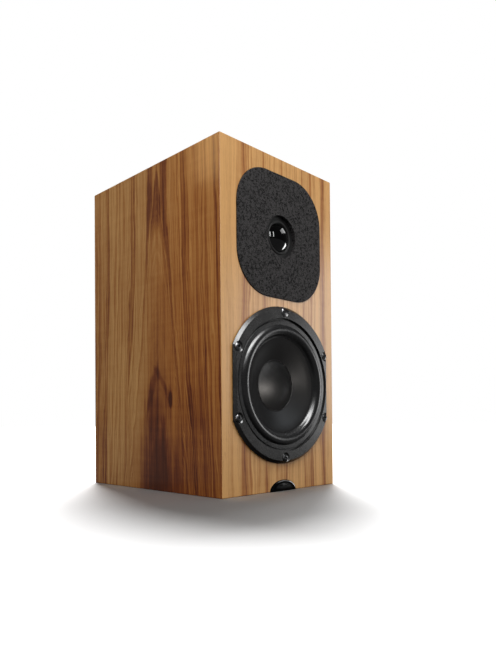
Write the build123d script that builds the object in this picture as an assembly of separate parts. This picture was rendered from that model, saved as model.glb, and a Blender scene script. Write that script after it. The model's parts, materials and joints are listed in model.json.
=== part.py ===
from build123d import *
import math
import os

# Two-way bookshelf loudspeaker: a veneered cabinet, its two drivers, crossover, reflex port and terminals.
# Sizes are in millimetres. +Z is up and the front faces -Y. The origin is at the bottom of the cabinet, in
# the middle of the whole object's box. A piece of a driver is drawn about local Z, where Z is the depth
# behind the front of the baffle and a negative depth stands proud of it.

# Cabinet
CABINET_WIDTH = 160.0
CABINET_HEIGHT = 320.0
CABINET_DEPTH = 206.0
PANEL = 15.0
EDGE_ROUND = 0.7

# How far the woofer's surround stands out in front, and the trim behind
CREST_PROUD = 5.0
REAR_PROUD = 2.5
FRONT_Y = (CREST_PROUD - CABINET_DEPTH - REAR_PROUD) / 2
REAR_Y = FRONT_Y + CABINET_DEPTH
INNER_X = CABINET_WIDTH / 2 - PANEL
INNER_FRONT_Y = FRONT_Y + PANEL
INNER_REAR_Y = REAR_Y - PANEL
INNER_TOP_Z = CABINET_HEIGHT - PANEL

# Heights of the pieces on the front and the rear
WOOFER_Z = 101.4
TWEETER_Z = 244.3
PORT_Z = 235.0
TERMINAL_Z = 85.0

# Brace and damping foam
BRACE_Z = 182.0
BRACE_THICK = 12.0
BRACE_WINDOW = (90.0, 130.0, 20.0)
FOAM_THICK = 10.0
FOAM_START_Y = -50.0
FOAM_END_Y = 78.0
FOAM_LEVELS = ((25.0, 172.0), (204.0, 295.0))
REAR_FOAM_WIDTH = 100.0
REAR_FOAM_LEVEL = (120.0, 176.0)

# Badge: half an oval that stands on the bottom edge of the baffle
BADGE_HALF_WIDTH = 18.5
BADGE_HEIGHT = 10.5
BADGE_PROUD = 1.6
BADGE_SUNK = 0.5
BADGE_ROUND = 1.1
BADGE_LIFT = 0.3

# Woofer frame
FLANGE_RADIUS = 75.0
FLANGE_FLAT = 67.0
FLANGE_PROUD = 4.0
FLANGE_BEVEL = 2.6
GASKET = 0.8
RIM_RADIUS = 63.8
SEAT_RADIUS = 57.6
SEAT_DEPTH = -1.6
BARREL_RADIUS = 62.6
WOOFER_HOLE = 63.2
BARREL_END = 7.0
LEDGE_DEPTH = 23.0
LEDGE_OUTER = 41.5
LEDGE_INNER = 36.0
FRAME_REAR_RADIUS = 46.0
FRAME_REAR_DEPTH = 33.0
FRAME_REAR_THICK = 3.0
FRAME_TAPER_END = 27.0
FRAME_HOLE = 17.6
WINDOW_COUNT = 6
WINDOW_WIDTH = 34.0
WINDOW_SPAN = (9.5, 21.5)
WOOFER_SCREW_CIRCLE = 69.8
WOOFER_SCREW_ANGLES = (27.0, 90.0, 153.0, 207.0, 270.0, 333.0)
POCKET_RADIUS = 5.2
POCKET_FLOOR = 3.85
POCKET_DEPTH = 1.4

# Woofer moving parts
LIP_RADIUS = 61.7
LIP_THICK = 1.0
ROLL_RADIUS = 51.4
ROLL_INNER = 45.7
ROLL_THICK = 0.9
ROLL_FOOT_DEPTH = 0.2
CONE_RADIUS = 45.4
CONE_RIM = 1.8
CONE_THICK = 0.8
CONE_MIDDLE = (34.0, 4.4)
CONE_NECK = (16.5, 12.6)
CAP_RADIUS = 24.2
CAP_BASE = 8.8
CAP_APEX = 1.8
CAP_THICK = 0.7
FORMER_INNER = 15.85
FORMER_OUTER = 16.25
FORMER_SPAN = (12.0, 41.0)
COIL_OUTER = 16.9
COIL_SPAN = (31.0, 41.0)
SPIDER_INNER = 16.6
SPIDER_RIM = 36.5
SPIDER_OUTER = 38.0
SPIDER_WAVES = 5
SPIDER_WAVE_HEIGHT = 0.9
SPIDER_THICK = 0.6

# Woofer motor
WOOFER_GAP_RADIUS = 17.5
WOOFER_PLATE_RADIUS = 42.0
WOOFER_PLATE_END = 39.0
WOOFER_MAGNET = (22.0, 45.0)
WOOFER_MAGNET_END = 54.0
WOOFER_YOKE_END = 60.0
WOOFER_POLE = 15.3
WOOFER_VENT = 5.0
TERMINAL_BLOCK = (22.0, 5.0, 5.0)
TERMINAL_BLOCK_DEPTH = 30.0
TERMINAL_BLOCK_TOP = WOOFER_Z - FRAME_REAR_RADIUS - 0.2
TAB_SPACING = 10.0
TAB = (4.0, 0.8, 6.0)

# Tweeter
PLATE_SIZE = 120.0
PLATE_CORNER = 40.0
PLATE_PROUD = 1.0
PLATE_SUNK = 3.0
PLATE_GAP = 0.3
PLATE_EDGE = 0.5
PLATE_HOLE = 20.5
CHASSIS_RADIUS = 46.0
CHASSIS_END = 5.5
CHASSIS_BOSS = 37.5
CHASSIS_BORE = 14.6
TWEETER_GASKET = 0.5
TWEETER_GASKET_OUTER = 45.5
TWEETER_HOLE = 38.5
TWEETER_SCREW_CIRCLE = 42.0
DOME_RADIUS = 13.7
DOME_BASE = 2.8
DOME_HEIGHT = 6.1
DOME_THICK = 0.4
DOME_LIP = (16.4, 18.4)
DOME_LIP_THICK = 0.5
DOME_LIP_CLEARANCE = 0.2
DOME_ROLL_INNER = 13.95
DOME_ROLL_HEIGHT = 1.1
TWEETER_FORMER = (12.9, 13.2)
TWEETER_FORMER_TOP = 3.0
TWEETER_COIL_OUTER = 13.55
TWEETER_COIL_SPAN = (6.0, 10.5)
TWEETER_PLATE_RADIUS = 32.0
TWEETER_PLATE_END = 10.0
TWEETER_GAP_RADIUS = 14.0
TWEETER_MAGNET = (17.0, 36.0)
TWEETER_MAGNET_END = 20.0
TWEETER_YOKE_RADIUS = 33.0
TWEETER_YOKE_END = 24.0
TWEETER_POLE = 12.5
REAR_CUP_RADIUS = 29.0
REAR_CUP_END = 41.0
REAR_CUP_WALL = 1.5
TAG_SPACING = 16.0
TAG = (5.0, 0.8, 8.0)

# Reflex port, with depths from the rear face: positive is outside
PORT_INNER = 21.0
PORT_WALL = 2.0
PORT_LENGTH = 95.0
PORT_FLARE = 9.0
PORT_FLANGE = 36.0
PORT_NECK = 30.6
PORT_HOLE = 31.0
PORT_EDGE = 1.0
PORT_TAPER = (-13.0, -5.0)

# Terminal cup, with depths from the rear face: positive is outside
CUP_FLANGE = (90.0, 76.0, 8.0)
CUP_RECESS = (66.0, 52.0, 10.0)
CUP_WALL = 2.5
CUP_GASKET = 0.5
CUP_FLOOR = -18.5
CUP_FLOOR_THICK = 3.0
CUP_CLEARANCE = 0.5
CUP_EDGE = 0.8
CUP_SCREW_X = 39.0
CUP_SCREW_Z = 32.0

# Binding posts
POST_SPACING = 19.05
STUD_RADIUS = 3.5
STUD_FRONT = 1.5
STUD_REAR = -34.0
SOCKET_RADIUS = 2.05
SOCKET_DEPTH = 18.0
THREAD_CLEARANCE = 0.05
POST_BASE_RADIUS = 8.0
POST_BASE_TOP = -15.5
COLLAR_RADIUS = 7.0
COLLAR_TOP = -13.0
KNOB_RADIUS = 7.5
KNOB_CHAMFER = 0.7
FLUTE_COUNT = 14
FLUTE_RADIUS = 0.9
FLUTE_CIRCLE = 7.85
KNOB_BAND = 3.0
NUT_ACROSS = 11.0
NUT_THICK = 4.0
SOLDER_TAG_THICK = 0.8
SOLDER_TAG_RADIUS = 6.0
SOLDER_TAG_TAIL = 15.0
SOLDER_TAG_WIDTH = 5.0
SOLDER_JOINT = 3.0

# Crossover
BOARD = (100.0, 90.0, 1.6)
BOARD_Y = 25.0
STANDOFF_HEIGHT = 6.0
STANDOFF_RADIUS = 3.5
STANDOFF_INSET = 6.0
BOARD_SCREW_RADIUS = 1.5
BOARD_SCREW_HEAD = (3.0, 2.0)
BOARD_SCREW_BITE = 8.0
BOARD_TOP_Z = PANEL + STANDOFF_HEIGHT + BOARD[2]
WOOFER_INDUCTOR = (-25.0, 14.0, 9.0, 20.0, 20.0)
TWEETER_INDUCTOR = (30.0, 8.0, 7.0, 14.0, 14.0)
CAPACITOR_LIFT = 0.2
CAPACITORS = ((-22.0, 52.0, 9.0, 32.0), (25.0, 54.0, 7.0, 28.0))
RESISTOR = (28.0, 35.0, 30.0, 9.0, 9.0)
LEAD_RADIUS = 1.2
LEAD_BEND = 6.0
INPUT_DROP_Y = 64.0
DRIVER_DROP_Y = -14.0
TWEETER_RUN_X = 36.0

# Screws: head radius, head height, shank radius, length
WOOFER_SCREW = (3.65, 2.0, 1.9, 14.4)
TWEETER_SCREW = (3.6, 1.8, 1.7, 9.5)
CUP_SCREW = (3.4, 1.6, 1.6, 13.0)
SCREW_EDGE = 0.35
SOCKET_ACROSS = 2.6
SOCKET_KEY_DEPTH = 1.2
PILOT_CLEARANCE = 0.05
PILOT_EXTRA = 0.6
THROUGH_CLEARANCE = 0.3

BOTTOM = (Align.CENTER, Align.CENTER, Align.MIN)


def on_front(height):
    return Pos(0, FRONT_Y, height) * Rot(-90, 0, 0)


def on_rear(height):
    return Pos(0, REAR_Y, height) * Rot(-90, 0, 0)


def disc(radius, start, end):
    return Pos(0, 0, start) * Cylinder(radius, end - start, align=BOTTOM)


def ring(inner, outer, start, end):
    return disc(outer, start, end) - disc(inner, start, end)


def slab(sketch, start, end):
    return Pos(0, 0, start) * extrude(sketch, end - start)


def turned(*edges):
    """A solid of revolution about local Z from edges drawn in (radius, depth)."""
    outline = Curve() + [*edges]
    return revolve(Plane.XZ * make_face(outline.edges()), Axis.Z)


def spun(*points):
    return turned(Polyline(*points, close=True))


def around(radius, count, first=0.0):
    """Places on a circle about local Z, the first at an angle from X in degrees."""
    turns = [math.radians(first + 360.0 * index / count) for index in range(count)]
    return [Pos(radius * math.cos(turn), radius * math.sin(turn), 0) for turn in turns]


def corners(half_x, half_y):
    return [Pos(x, y, 0) for x in (-half_x, half_x) for y in (-half_y, half_y)]


def group(solids):
    return Compound(children=[solid for item in solids for solid in item.solids()])


def mitred(panel, *cuts):
    """A panel cut by planes, each given by an outer edge point and the way in from the cut."""
    for corner, inward in cuts:
        panel = split(panel, bisect_by=Plane(origin=corner, z_dir=inward), keep=Keep.TOP)
    return panel


def envelope():
    box = Pos(0, (FRONT_Y + REAR_Y) / 2, 0)
    box *= Box(CABINET_WIDTH, CABINET_DEPTH, CABINET_HEIGHT, align=BOTTOM)
    return fillet(box.edges(), EDGE_ROUND)


def side_panel(side):
    edge = side * CABINET_WIDTH / 2
    panel = Pos(edge - side * PANEL / 2, (FRONT_Y + REAR_Y) / 2, 0)
    panel *= Box(PANEL, CABINET_DEPTH, CABINET_HEIGHT, align=BOTTOM)
    panel = mitred(
        panel,
        ((edge, FRONT_Y, 0), (side, 1, 0)),
        ((edge, 0, 0), (side, 0, 1)),
        ((edge, 0, CABINET_HEIGHT), (side, 0, -1)),
    )
    return panel & envelope()


def level_panel(outer_z, way_in):
    """The top or the bottom panel, from its outer height and the way into the cabinet."""
    half = CABINET_WIDTH / 2
    panel = Pos(0, (FRONT_Y + REAR_Y) / 2, outer_z + way_in * PANEL / 2)
    panel *= Box(CABINET_WIDTH, CABINET_DEPTH, PANEL)
    panel = mitred(
        panel,
        ((0, FRONT_Y, outer_z), (0, 1, -way_in)),
        ((-half, 0, outer_z), (1, 0, -way_in)),
        ((half, 0, outer_z), (-1, 0, -way_in)),
    )
    return panel & envelope()


def bottom_panel():
    hole = disc(BOARD_SCREW_RADIUS + PILOT_CLEARANCE, PANEL - BOARD_SCREW_BITE, PANEL + 1)
    return level_panel(0, 1) - [place * hole for place in standoff_places()] - badge_recess()


def badge_outline(grow=0.0):
    """Half an oval in local XY, whose rounded side points up once it stands on the baffle."""
    oval = Ellipse(BADGE_HALF_WIDTH + grow, BADGE_HEIGHT + grow)
    below = Pos(0, BADGE_HEIGHT - BADGE_LIFT + grow) * Rectangle(4 * BADGE_HALF_WIDTH, 2 * BADGE_HEIGHT)
    return oval - below


def front_badge():
    badge = slab(badge_outline(), -BADGE_PROUD, BADGE_SUNK)
    rim = badge.faces().sort_by(Axis.Z)[0].edges().filter_by(GeomType.ELLIPSE)
    return on_front(0) * fillet(rim, BADGE_ROUND)


def badge_recess():
    return on_front(0) * slab(badge_outline(PLATE_GAP), -1, BADGE_SUNK)


def plate_outline(grow=0.0):
    size = PLATE_SIZE + 2 * grow
    return RectangleRounded(size, size, PLATE_CORNER + grow)


def front_baffle():
    half = CABINET_WIDTH / 2
    top = CABINET_HEIGHT
    panel = Pos(0, FRONT_Y + PANEL / 2, 0)
    panel *= Box(CABINET_WIDTH, PANEL, CABINET_HEIGHT, align=BOTTOM)
    panel = mitred(
        panel,
        ((-half, FRONT_Y, 0), (1, -1, 0)),
        ((half, FRONT_Y, 0), (-1, -1, 0)),
        ((0, FRONT_Y, 0), (0, -1, 1)),
        ((0, FRONT_Y, top), (0, -1, -1)),
    )
    panel = panel & envelope()
    panel -= on_front(WOOFER_Z) * disc(WOOFER_HOLE, -1, PANEL + 1)
    panel -= on_front(WOOFER_Z) * pilots(WOOFER_SCREW, woofer_screw_places(), POCKET_DEPTH - FLANGE_PROUD)
    rebate = slab(plate_outline(PLATE_GAP), -1, PLATE_SUNK)
    rebate += disc(CHASSIS_RADIUS + PLATE_GAP, -1, CHASSIS_END + TWEETER_GASKET)
    rebate += disc(TWEETER_HOLE, -1, PANEL + 1)
    panel -= on_front(TWEETER_Z) * rebate
    panel -= on_front(TWEETER_Z) * pilots(TWEETER_SCREW, tweeter_screw_places(), PLATE_SUNK)
    return panel - badge_recess()


def rear_panel():
    depth = (INNER_REAR_Y + REAR_Y) / 2
    panel = Pos(0, depth, PANEL)
    panel *= Box(2 * INNER_X, PANEL, INNER_TOP_Z - PANEL, align=BOTTOM)
    panel -= on_rear(PORT_Z) * disc(PORT_HOLE, -PANEL - 1, 1)
    panel -= on_rear(TERMINAL_Z) * slab(cup_outline(CUP_WALL + CUP_CLEARANCE), -PANEL - 1, 1)
    bite = CUP_SCREW[3] - CUP_GASKET - (REAR_PROUD - CUP_GASKET)
    pilot = disc(CUP_SCREW[2] + PILOT_CLEARANCE, -bite - PILOT_EXTRA, 1)
    panel -= [on_rear(TERMINAL_Z) * place * pilot for place in corners(CUP_SCREW_X, CUP_SCREW_Z)]
    return panel


def internal_brace():
    length = INNER_REAR_Y - INNER_FRONT_Y
    middle = (INNER_REAR_Y + INNER_FRONT_Y) / 2
    shelf = Rectangle(2 * INNER_X, length) - RectangleRounded(*BRACE_WINDOW)
    return Pos(0, middle, BRACE_Z) * extrude(shelf, BRACE_THICK)


def side_foam(side):
    length = FOAM_END_Y - FOAM_START_Y
    middle = Vector(side * (INNER_X - FOAM_THICK / 2), (FOAM_END_Y + FOAM_START_Y) / 2, 0)
    pads = []
    for low, high in FOAM_LEVELS:
        pads.append(Pos(middle.X, middle.Y, low) * Box(FOAM_THICK, length, high - low, align=BOTTOM))
    return group(pads)


def rear_foam():
    low, high = REAR_FOAM_LEVEL
    place = Pos(0, INNER_REAR_Y - FOAM_THICK / 2, low)
    return place * Box(REAR_FOAM_WIDTH, FOAM_THICK, high - low, align=BOTTOM)


def pilots(screw, places, seat):
    """Pilot holes for screws whose heads sit at a given depth."""
    hole = disc(screw[2] + PILOT_CLEARANCE, -1, seat + screw[3] + PILOT_EXTRA)
    return group([place * hole for place in places])


def woofer_screw_places():
    return [Rot(0, 0, angle) * Pos(WOOFER_SCREW_CIRCLE, 0, 0) for angle in WOOFER_SCREW_ANGLES]


def tweeter_screw_places():
    return around(TWEETER_SCREW_CIRCLE, 4, 45)


def dome_arc(radius, base, apex):
    """The arc of a round dome in (radius, depth), from its apex on the axis to its edge."""
    height = base - apex
    sphere = (radius ** 2 + height ** 2) / (2 * height)
    turn = math.asin(radius / sphere) / 2
    middle = (sphere * math.sin(turn), apex + sphere - sphere * math.cos(turn))
    return ThreePointArc((0, apex), middle, (radius, base))


def cap_shell(radius, base, apex, thick):
    """A domed shell from its edge radius, the depths of its edge and apex, and its thickness."""
    return turned(
        dome_arc(radius, base, apex),
        Line((radius, base), (radius - thick, base)),
        dome_arc(radius - thick, base, apex + thick),
        Line((0, apex + thick), (0, apex)),
    )


def button_screw(size, seat):
    """A domed screw with a hexagon socket, its head standing on a seat at a given depth."""
    head, height, shank, length = size
    edge = seat - SCREW_EDGE * height
    top = seat - height
    end = seat + length
    body = turned(
        dome_arc(head, edge, top),
        Polyline((head, edge), (head, seat), (shank, seat), (shank, end), (0, end), (0, top)),
    )
    key = RegularPolygon(SOCKET_ACROSS / 2, 6, major_radius=False)
    return body - slab(key, top - 1, top + SOCKET_KEY_DEPTH)


def countersunk_screw(size, face):
    """A flat screw whose head is flush with a face at a given depth."""
    head, height, shank, length = size
    end = face + length
    screw = spun((0, face), (head, face), (shank, face + height), (shank, end), (0, end))
    key = slab(RegularPolygon(SOCKET_ACROSS / 2, 6, major_radius=False), face - 1, face + SOCKET_KEY_DEPTH)
    return screw - key


def countersink(size, face, grow):
    head, height, shank, length = size
    return spun(
        (0, face - 1), (head + grow, face - 1), (head + grow, face),
        (shank + grow, face + height), (shank + grow, face + length), (0, face + length),
    )


def flange_outline(shrink=0.0):
    circle = Circle(FLANGE_RADIUS - shrink)
    return circle & Rectangle(2 * (FLANGE_FLAT - shrink), 4 * FLANGE_RADIUS)


def woofer_basket():
    flange = slab(flange_outline(), -FLANGE_PROUD, -GASKET)
    flange = chamfer(flange.faces().sort_by(Axis.Z)[0].edges(), FLANGE_BEVEL)
    flange -= disc(RIM_RADIUS, -FLANGE_PROUD - 1, SEAT_DEPTH)
    flange -= disc(SEAT_RADIUS, -FLANGE_PROUD - 1, 0)
    legs = spun(
        (SEAT_RADIUS, -GASKET), (BARREL_RADIUS, -GASKET), (BARREL_RADIUS, BARREL_END),
        (FRAME_REAR_RADIUS, FRAME_TAPER_END), (FRAME_REAR_RADIUS, FRAME_REAR_DEPTH),
        (FRAME_HOLE, FRAME_REAR_DEPTH), (FRAME_HOLE, FRAME_REAR_DEPTH - FRAME_REAR_THICK),
        (LEDGE_INNER, FRAME_REAR_DEPTH - FRAME_REAR_THICK), (LEDGE_INNER, LEDGE_DEPTH),
        (LEDGE_OUTER, LEDGE_DEPTH), (SEAT_RADIUS, BARREL_END),
    )
    start, end = WINDOW_SPAN
    reach = 2 * (BARREL_RADIUS - LEDGE_INNER)
    window = Pos(0, 0, start) * Box(reach, WINDOW_WIDTH, end - start, align=BOTTOM)
    for index in range(WINDOW_COUNT):
        legs -= Rot(0, 0, 360 * index / WINDOW_COUNT) * Pos(BARREL_RADIUS, 0, 0) * window
    basket = flange + legs
    floor = POCKET_DEPTH - FLANGE_PROUD
    above = -FLANGE_PROUD - 1
    hole = WOOFER_SCREW[2] + THROUGH_CLEARANCE
    pocket = spun(
        (0, above), (POCKET_RADIUS, above), (POCKET_RADIUS, -FLANGE_PROUD), (POCKET_FLOOR, floor),
        (hole, floor), (hole, 0), (0, 0),
    )
    basket -= [place * pocket for place in woofer_screw_places()]
    return on_front(WOOFER_Z) * basket


def woofer_gasket():
    gasket = slab(flange_outline(1.0), -GASKET, 0) - disc(WOOFER_HOLE, -GASKET - 1, 1)
    hole = disc(WOOFER_SCREW[2] + THROUGH_CLEARANCE, -GASKET - 1, 1)
    gasket -= [place * hole for place in woofer_screw_places()]
    return on_front(WOOFER_Z) * gasket


def woofer_screws():
    screw = button_screw(WOOFER_SCREW, POCKET_DEPTH - FLANGE_PROUD)
    return on_front(WOOFER_Z) * group([place * screw for place in woofer_screw_places()])


def woofer_surround():
    lip_front = SEAT_DEPTH - LIP_THICK
    root = CONE_THICK + LIP_THICK
    glue_inner = CONE_RADIUS - CONE_RIM
    inside = ROLL_THICK - CREST_PROUD
    edge = SEAT_RADIUS - ROLL_THICK
    foot = ROLL_INNER + ROLL_THICK
    return on_front(WOOFER_Z) * turned(
        Polyline(
            (edge, SEAT_DEPTH), (LIP_RADIUS, SEAT_DEPTH), (LIP_RADIUS, lip_front), (SEAT_RADIUS, lip_front),
        ),
        ThreePointArc((SEAT_RADIUS, lip_front), (ROLL_RADIUS, -CREST_PROUD), (ROLL_INNER, 0)),
        Polyline(
            (ROLL_INNER, 0), (ROLL_INNER, CONE_THICK), (glue_inner, CONE_THICK),
            (glue_inner, root), (foot, root), (foot, ROLL_FOOT_DEPTH),
        ),
        ThreePointArc((foot, ROLL_FOOT_DEPTH), (ROLL_RADIUS, inside), (edge, SEAT_DEPTH)),
    )


def woofer_cone():
    flat = CONE_RADIUS - CONE_RIM
    neck = (CONE_NECK[0], CONE_NECK[1] + CONE_THICK)
    middle = (CONE_MIDDLE[0], CONE_MIDDLE[1] + CONE_THICK)
    return on_front(WOOFER_Z) * turned(
        Line((CONE_RADIUS, 0), (flat, 0)),
        ThreePointArc((flat, 0), CONE_MIDDLE, CONE_NECK),
        Line(CONE_NECK, neck),
        ThreePointArc(neck, middle, (flat, CONE_THICK)),
        Polyline((flat, CONE_THICK), (CONE_RADIUS, CONE_THICK), (CONE_RADIUS, 0)),
    )


def woofer_dust_cap():
    return on_front(WOOFER_Z) * cap_shell(CAP_RADIUS, CAP_BASE, CAP_APEX, CAP_THICK)


def woofer_coil_former():
    return on_front(WOOFER_Z) * ring(FORMER_INNER, FORMER_OUTER, *FORMER_SPAN)


def woofer_voice_coil():
    return on_front(WOOFER_Z) * ring(FORMER_OUTER, COIL_OUTER, *COIL_SPAN)


def woofer_spider():
    """A corrugated disc: half-round waves between a collar at the former and a flat rim on the ledge."""
    rim = SPIDER_RIM
    base = LEDGE_DEPTH - SPIDER_THICK
    step = (rim - SPIDER_INNER) / (2 * SPIDER_WAVES)
    waves = []
    for thick in (0, SPIDER_THICK):
        for index in range(2 * SPIDER_WAVES):
            start = SPIDER_INNER + index * step
            height = SPIDER_WAVE_HEIGHT * (-1) ** index
            level = base + thick
            waves.append(ThreePointArc(
                (start, level), (start + step / 2, level + height), (start + step, level)))
    return on_front(WOOFER_Z) * turned(
        *waves,
        Line((SPIDER_INNER, base), (SPIDER_INNER, base + SPIDER_THICK)),
        Polyline((rim, base), (SPIDER_OUTER, base), (SPIDER_OUTER, LEDGE_DEPTH), (rim, LEDGE_DEPTH)),
    )


def woofer_top_plate():
    plate = ring(WOOFER_GAP_RADIUS, WOOFER_PLATE_RADIUS, FRAME_REAR_DEPTH, WOOFER_PLATE_END)
    return on_front(WOOFER_Z) * plate


def woofer_magnet():
    return on_front(WOOFER_Z) * ring(*WOOFER_MAGNET, WOOFER_PLATE_END, WOOFER_MAGNET_END)


def woofer_yoke():
    yoke = disc(WOOFER_PLATE_RADIUS, WOOFER_MAGNET_END, WOOFER_YOKE_END)
    yoke += disc(WOOFER_POLE, FRAME_REAR_DEPTH, WOOFER_YOKE_END)
    yoke -= disc(WOOFER_VENT, FRAME_REAR_DEPTH - 1, WOOFER_YOKE_END + 1)
    return on_front(WOOFER_Z) * yoke


def woofer_terminals():
    height = TERMINAL_BLOCK[2]
    block = Pos(0, 0, TERMINAL_BLOCK_TOP - height) * Box(*TERMINAL_BLOCK, align=BOTTOM)
    for x in (-TAB_SPACING / 2, TAB_SPACING / 2):
        block += Pos(x, 0, TERMINAL_BLOCK_TOP - height - TAB[2]) * Box(*TAB, align=BOTTOM)
    return Pos(0, FRONT_Y + TERMINAL_BLOCK_DEPTH, 0) * block


def tweeter_faceplate():
    plate = slab(plate_outline(), -PLATE_PROUD, PLATE_SUNK)
    plate = fillet(plate.faces().sort_by(Axis.Z)[0].edges(), PLATE_EDGE)
    plate -= disc(PLATE_HOLE, -PLATE_PROUD - 1, PLATE_SUNK + 1)
    return on_front(TWEETER_Z) * plate


def tweeter_chassis():
    face = PLATE_SUNK
    seat = face + DOME_LIP_THICK
    lip = DOME_LIP[1] + DOME_LIP_CLEARANCE
    boss_end = CHASSIS_END + TWEETER_GASKET
    chassis = spun(
        (CHASSIS_BORE, seat), (lip, seat), (lip, face), (CHASSIS_RADIUS, face),
        (CHASSIS_RADIUS, CHASSIS_END), (CHASSIS_BOSS, CHASSIS_END), (CHASSIS_BOSS, boss_end),
        (CHASSIS_BORE, boss_end),
    )
    hole = countersink(TWEETER_SCREW, PLATE_SUNK, PILOT_CLEARANCE)
    chassis -= [place * hole for place in tweeter_screw_places()]
    return on_front(TWEETER_Z) * chassis


def tweeter_gasket():
    end = CHASSIS_END + TWEETER_GASKET
    gasket = ring(TWEETER_HOLE, TWEETER_GASKET_OUTER, CHASSIS_END, end)
    hole = disc(TWEETER_SCREW[2] + THROUGH_CLEARANCE, CHASSIS_END - 1, end + 1)
    return on_front(TWEETER_Z) * (gasket - [place * hole for place in tweeter_screw_places()])


def tweeter_screws():
    screw = countersunk_screw(TWEETER_SCREW, PLATE_SUNK)
    return on_front(TWEETER_Z) * group([place * screw for place in tweeter_screw_places()])


def tweeter_dome():
    return on_front(TWEETER_Z) * cap_shell(DOME_RADIUS, DOME_BASE, DOME_BASE - DOME_HEIGHT, DOME_THICK)


def tweeter_surround():
    face = PLATE_SUNK
    back = face + DOME_LIP_THICK
    start, end = DOME_LIP
    middle = (DOME_ROLL_INNER + start) / 2
    return on_front(TWEETER_Z) * turned(
        Polyline((start, back), (end, back), (end, face), (start, face)),
        ThreePointArc((start, face), (middle, face - DOME_ROLL_HEIGHT), (DOME_ROLL_INNER, face)),
        Line((DOME_ROLL_INNER, face), (DOME_ROLL_INNER, back)),
        ThreePointArc((DOME_ROLL_INNER, back), (middle, back - DOME_ROLL_HEIGHT), (start, back)),
    )


def tweeter_voice_coil():
    inner, outer = TWEETER_FORMER
    start, end = TWEETER_COIL_SPAN
    return on_front(TWEETER_Z) * spun(
        (inner, TWEETER_FORMER_TOP), (outer, TWEETER_FORMER_TOP), (outer, start),
        (TWEETER_COIL_OUTER, start), (TWEETER_COIL_OUTER, end), (inner, end),
    )


def tweeter_top_plate():
    start = CHASSIS_END + TWEETER_GASKET
    plate = ring(TWEETER_GAP_RADIUS, TWEETER_PLATE_RADIUS, start, TWEETER_PLATE_END)
    return on_front(TWEETER_Z) * plate


def tweeter_magnet():
    return on_front(TWEETER_Z) * ring(*TWEETER_MAGNET, TWEETER_PLATE_END, TWEETER_MAGNET_END)


def tweeter_yoke():
    yoke = disc(TWEETER_YOKE_RADIUS, TWEETER_MAGNET_END, TWEETER_YOKE_END)
    yoke += disc(TWEETER_POLE, CHASSIS_END + TWEETER_GASKET, TWEETER_YOKE_END)
    return on_front(TWEETER_Z) * yoke


def tweeter_rear_cup():
    cup = disc(REAR_CUP_RADIUS, TWEETER_YOKE_END, REAR_CUP_END)
    cup -= disc(REAR_CUP_RADIUS - REAR_CUP_WALL, TWEETER_YOKE_END - 1, REAR_CUP_END - REAR_CUP_WALL)
    return on_front(TWEETER_Z) * cup


def tweeter_tags():
    width, thick, length = TAG
    tag = Box(width, thick, length, align=BOTTOM)
    places = [Pos(x, 0, REAR_CUP_END) for x in (-TAG_SPACING / 2, TAG_SPACING / 2)]
    return on_front(TWEETER_Z) * group([place * tag for place in places])


def port_tube():
    flare_radius = PORT_INNER + PORT_FLARE
    flare_depth = REAR_PROUD - PORT_FLARE
    bend = PORT_FLARE * math.sqrt(0.5)
    outer = PORT_INNER + PORT_WALL
    edge_radius = PORT_FLANGE - PORT_EDGE
    edge_depth = REAR_PROUD - PORT_EDGE
    edge_bend = PORT_EDGE * math.sqrt(0.5)
    return on_rear(PORT_Z) * turned(
        Polyline(
            (PORT_INNER, flare_depth), (PORT_INNER, -PORT_LENGTH), (outer, -PORT_LENGTH),
            (outer, PORT_TAPER[0]), (PORT_NECK, PORT_TAPER[1]), (PORT_NECK, 0), (PORT_FLANGE, 0),
            (PORT_FLANGE, edge_depth),
        ),
        ThreePointArc(
            (PORT_FLANGE, edge_depth), (edge_radius + edge_bend, edge_depth + edge_bend),
            (edge_radius, REAR_PROUD),
        ),
        Line((edge_radius, REAR_PROUD), (flare_radius, REAR_PROUD)),
        ThreePointArc(
            (flare_radius, REAR_PROUD), (flare_radius - bend, flare_depth + bend), (PORT_INNER, flare_depth)
        ),
    )


def cup_outline(grow=0.0):
    width, height, corner = CUP_RECESS
    return RectangleRounded(width + 2 * grow, height + 2 * grow, corner + grow)


def cup_screw_hole(start, end):
    hole = disc(CUP_SCREW[2] + THROUGH_CLEARANCE, start, end)
    return [place * hole for place in corners(CUP_SCREW_X, CUP_SCREW_Z)]


def post_places():
    return [Pos(x, 0, 0) for x in (-POST_SPACING / 2, POST_SPACING / 2)]


def terminal_cup():
    back = CUP_FLOOR - CUP_FLOOR_THICK
    flange = slab(RectangleRounded(*CUP_FLANGE), CUP_GASKET, REAR_PROUD)
    flange = fillet(flange.faces().sort_by(Axis.Z)[-1].edges(), CUP_EDGE)
    cup = flange + slab(cup_outline(CUP_WALL), back, CUP_GASKET)
    cup -= slab(cup_outline(), CUP_FLOOR, REAR_PROUD + 1)
    hole = disc(STUD_RADIUS + THROUGH_CLEARANCE, back - 1, CUP_FLOOR + 1)
    cup -= [place * hole for place in post_places()]
    countersunk = Rot(180, 0, 0) * countersink(CUP_SCREW, -REAR_PROUD, PILOT_CLEARANCE)
    cup -= [place * countersunk for place in corners(CUP_SCREW_X, CUP_SCREW_Z)]
    return on_rear(TERMINAL_Z) * cup


def terminal_gasket():
    gasket = slab(RectangleRounded(*CUP_FLANGE), 0, CUP_GASKET)
    gasket -= slab(cup_outline(CUP_WALL + CUP_CLEARANCE), -1, CUP_GASKET + 1)
    gasket -= cup_screw_hole(-1, CUP_GASKET + 1)
    return on_rear(TERMINAL_Z) * gasket


def terminal_cup_screws():
    screw = Rot(180, 0, 0) * countersunk_screw(CUP_SCREW, -REAR_PROUD)
    return on_rear(TERMINAL_Z) * group([place * screw for place in corners(CUP_SCREW_X, CUP_SCREW_Z)])


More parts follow.
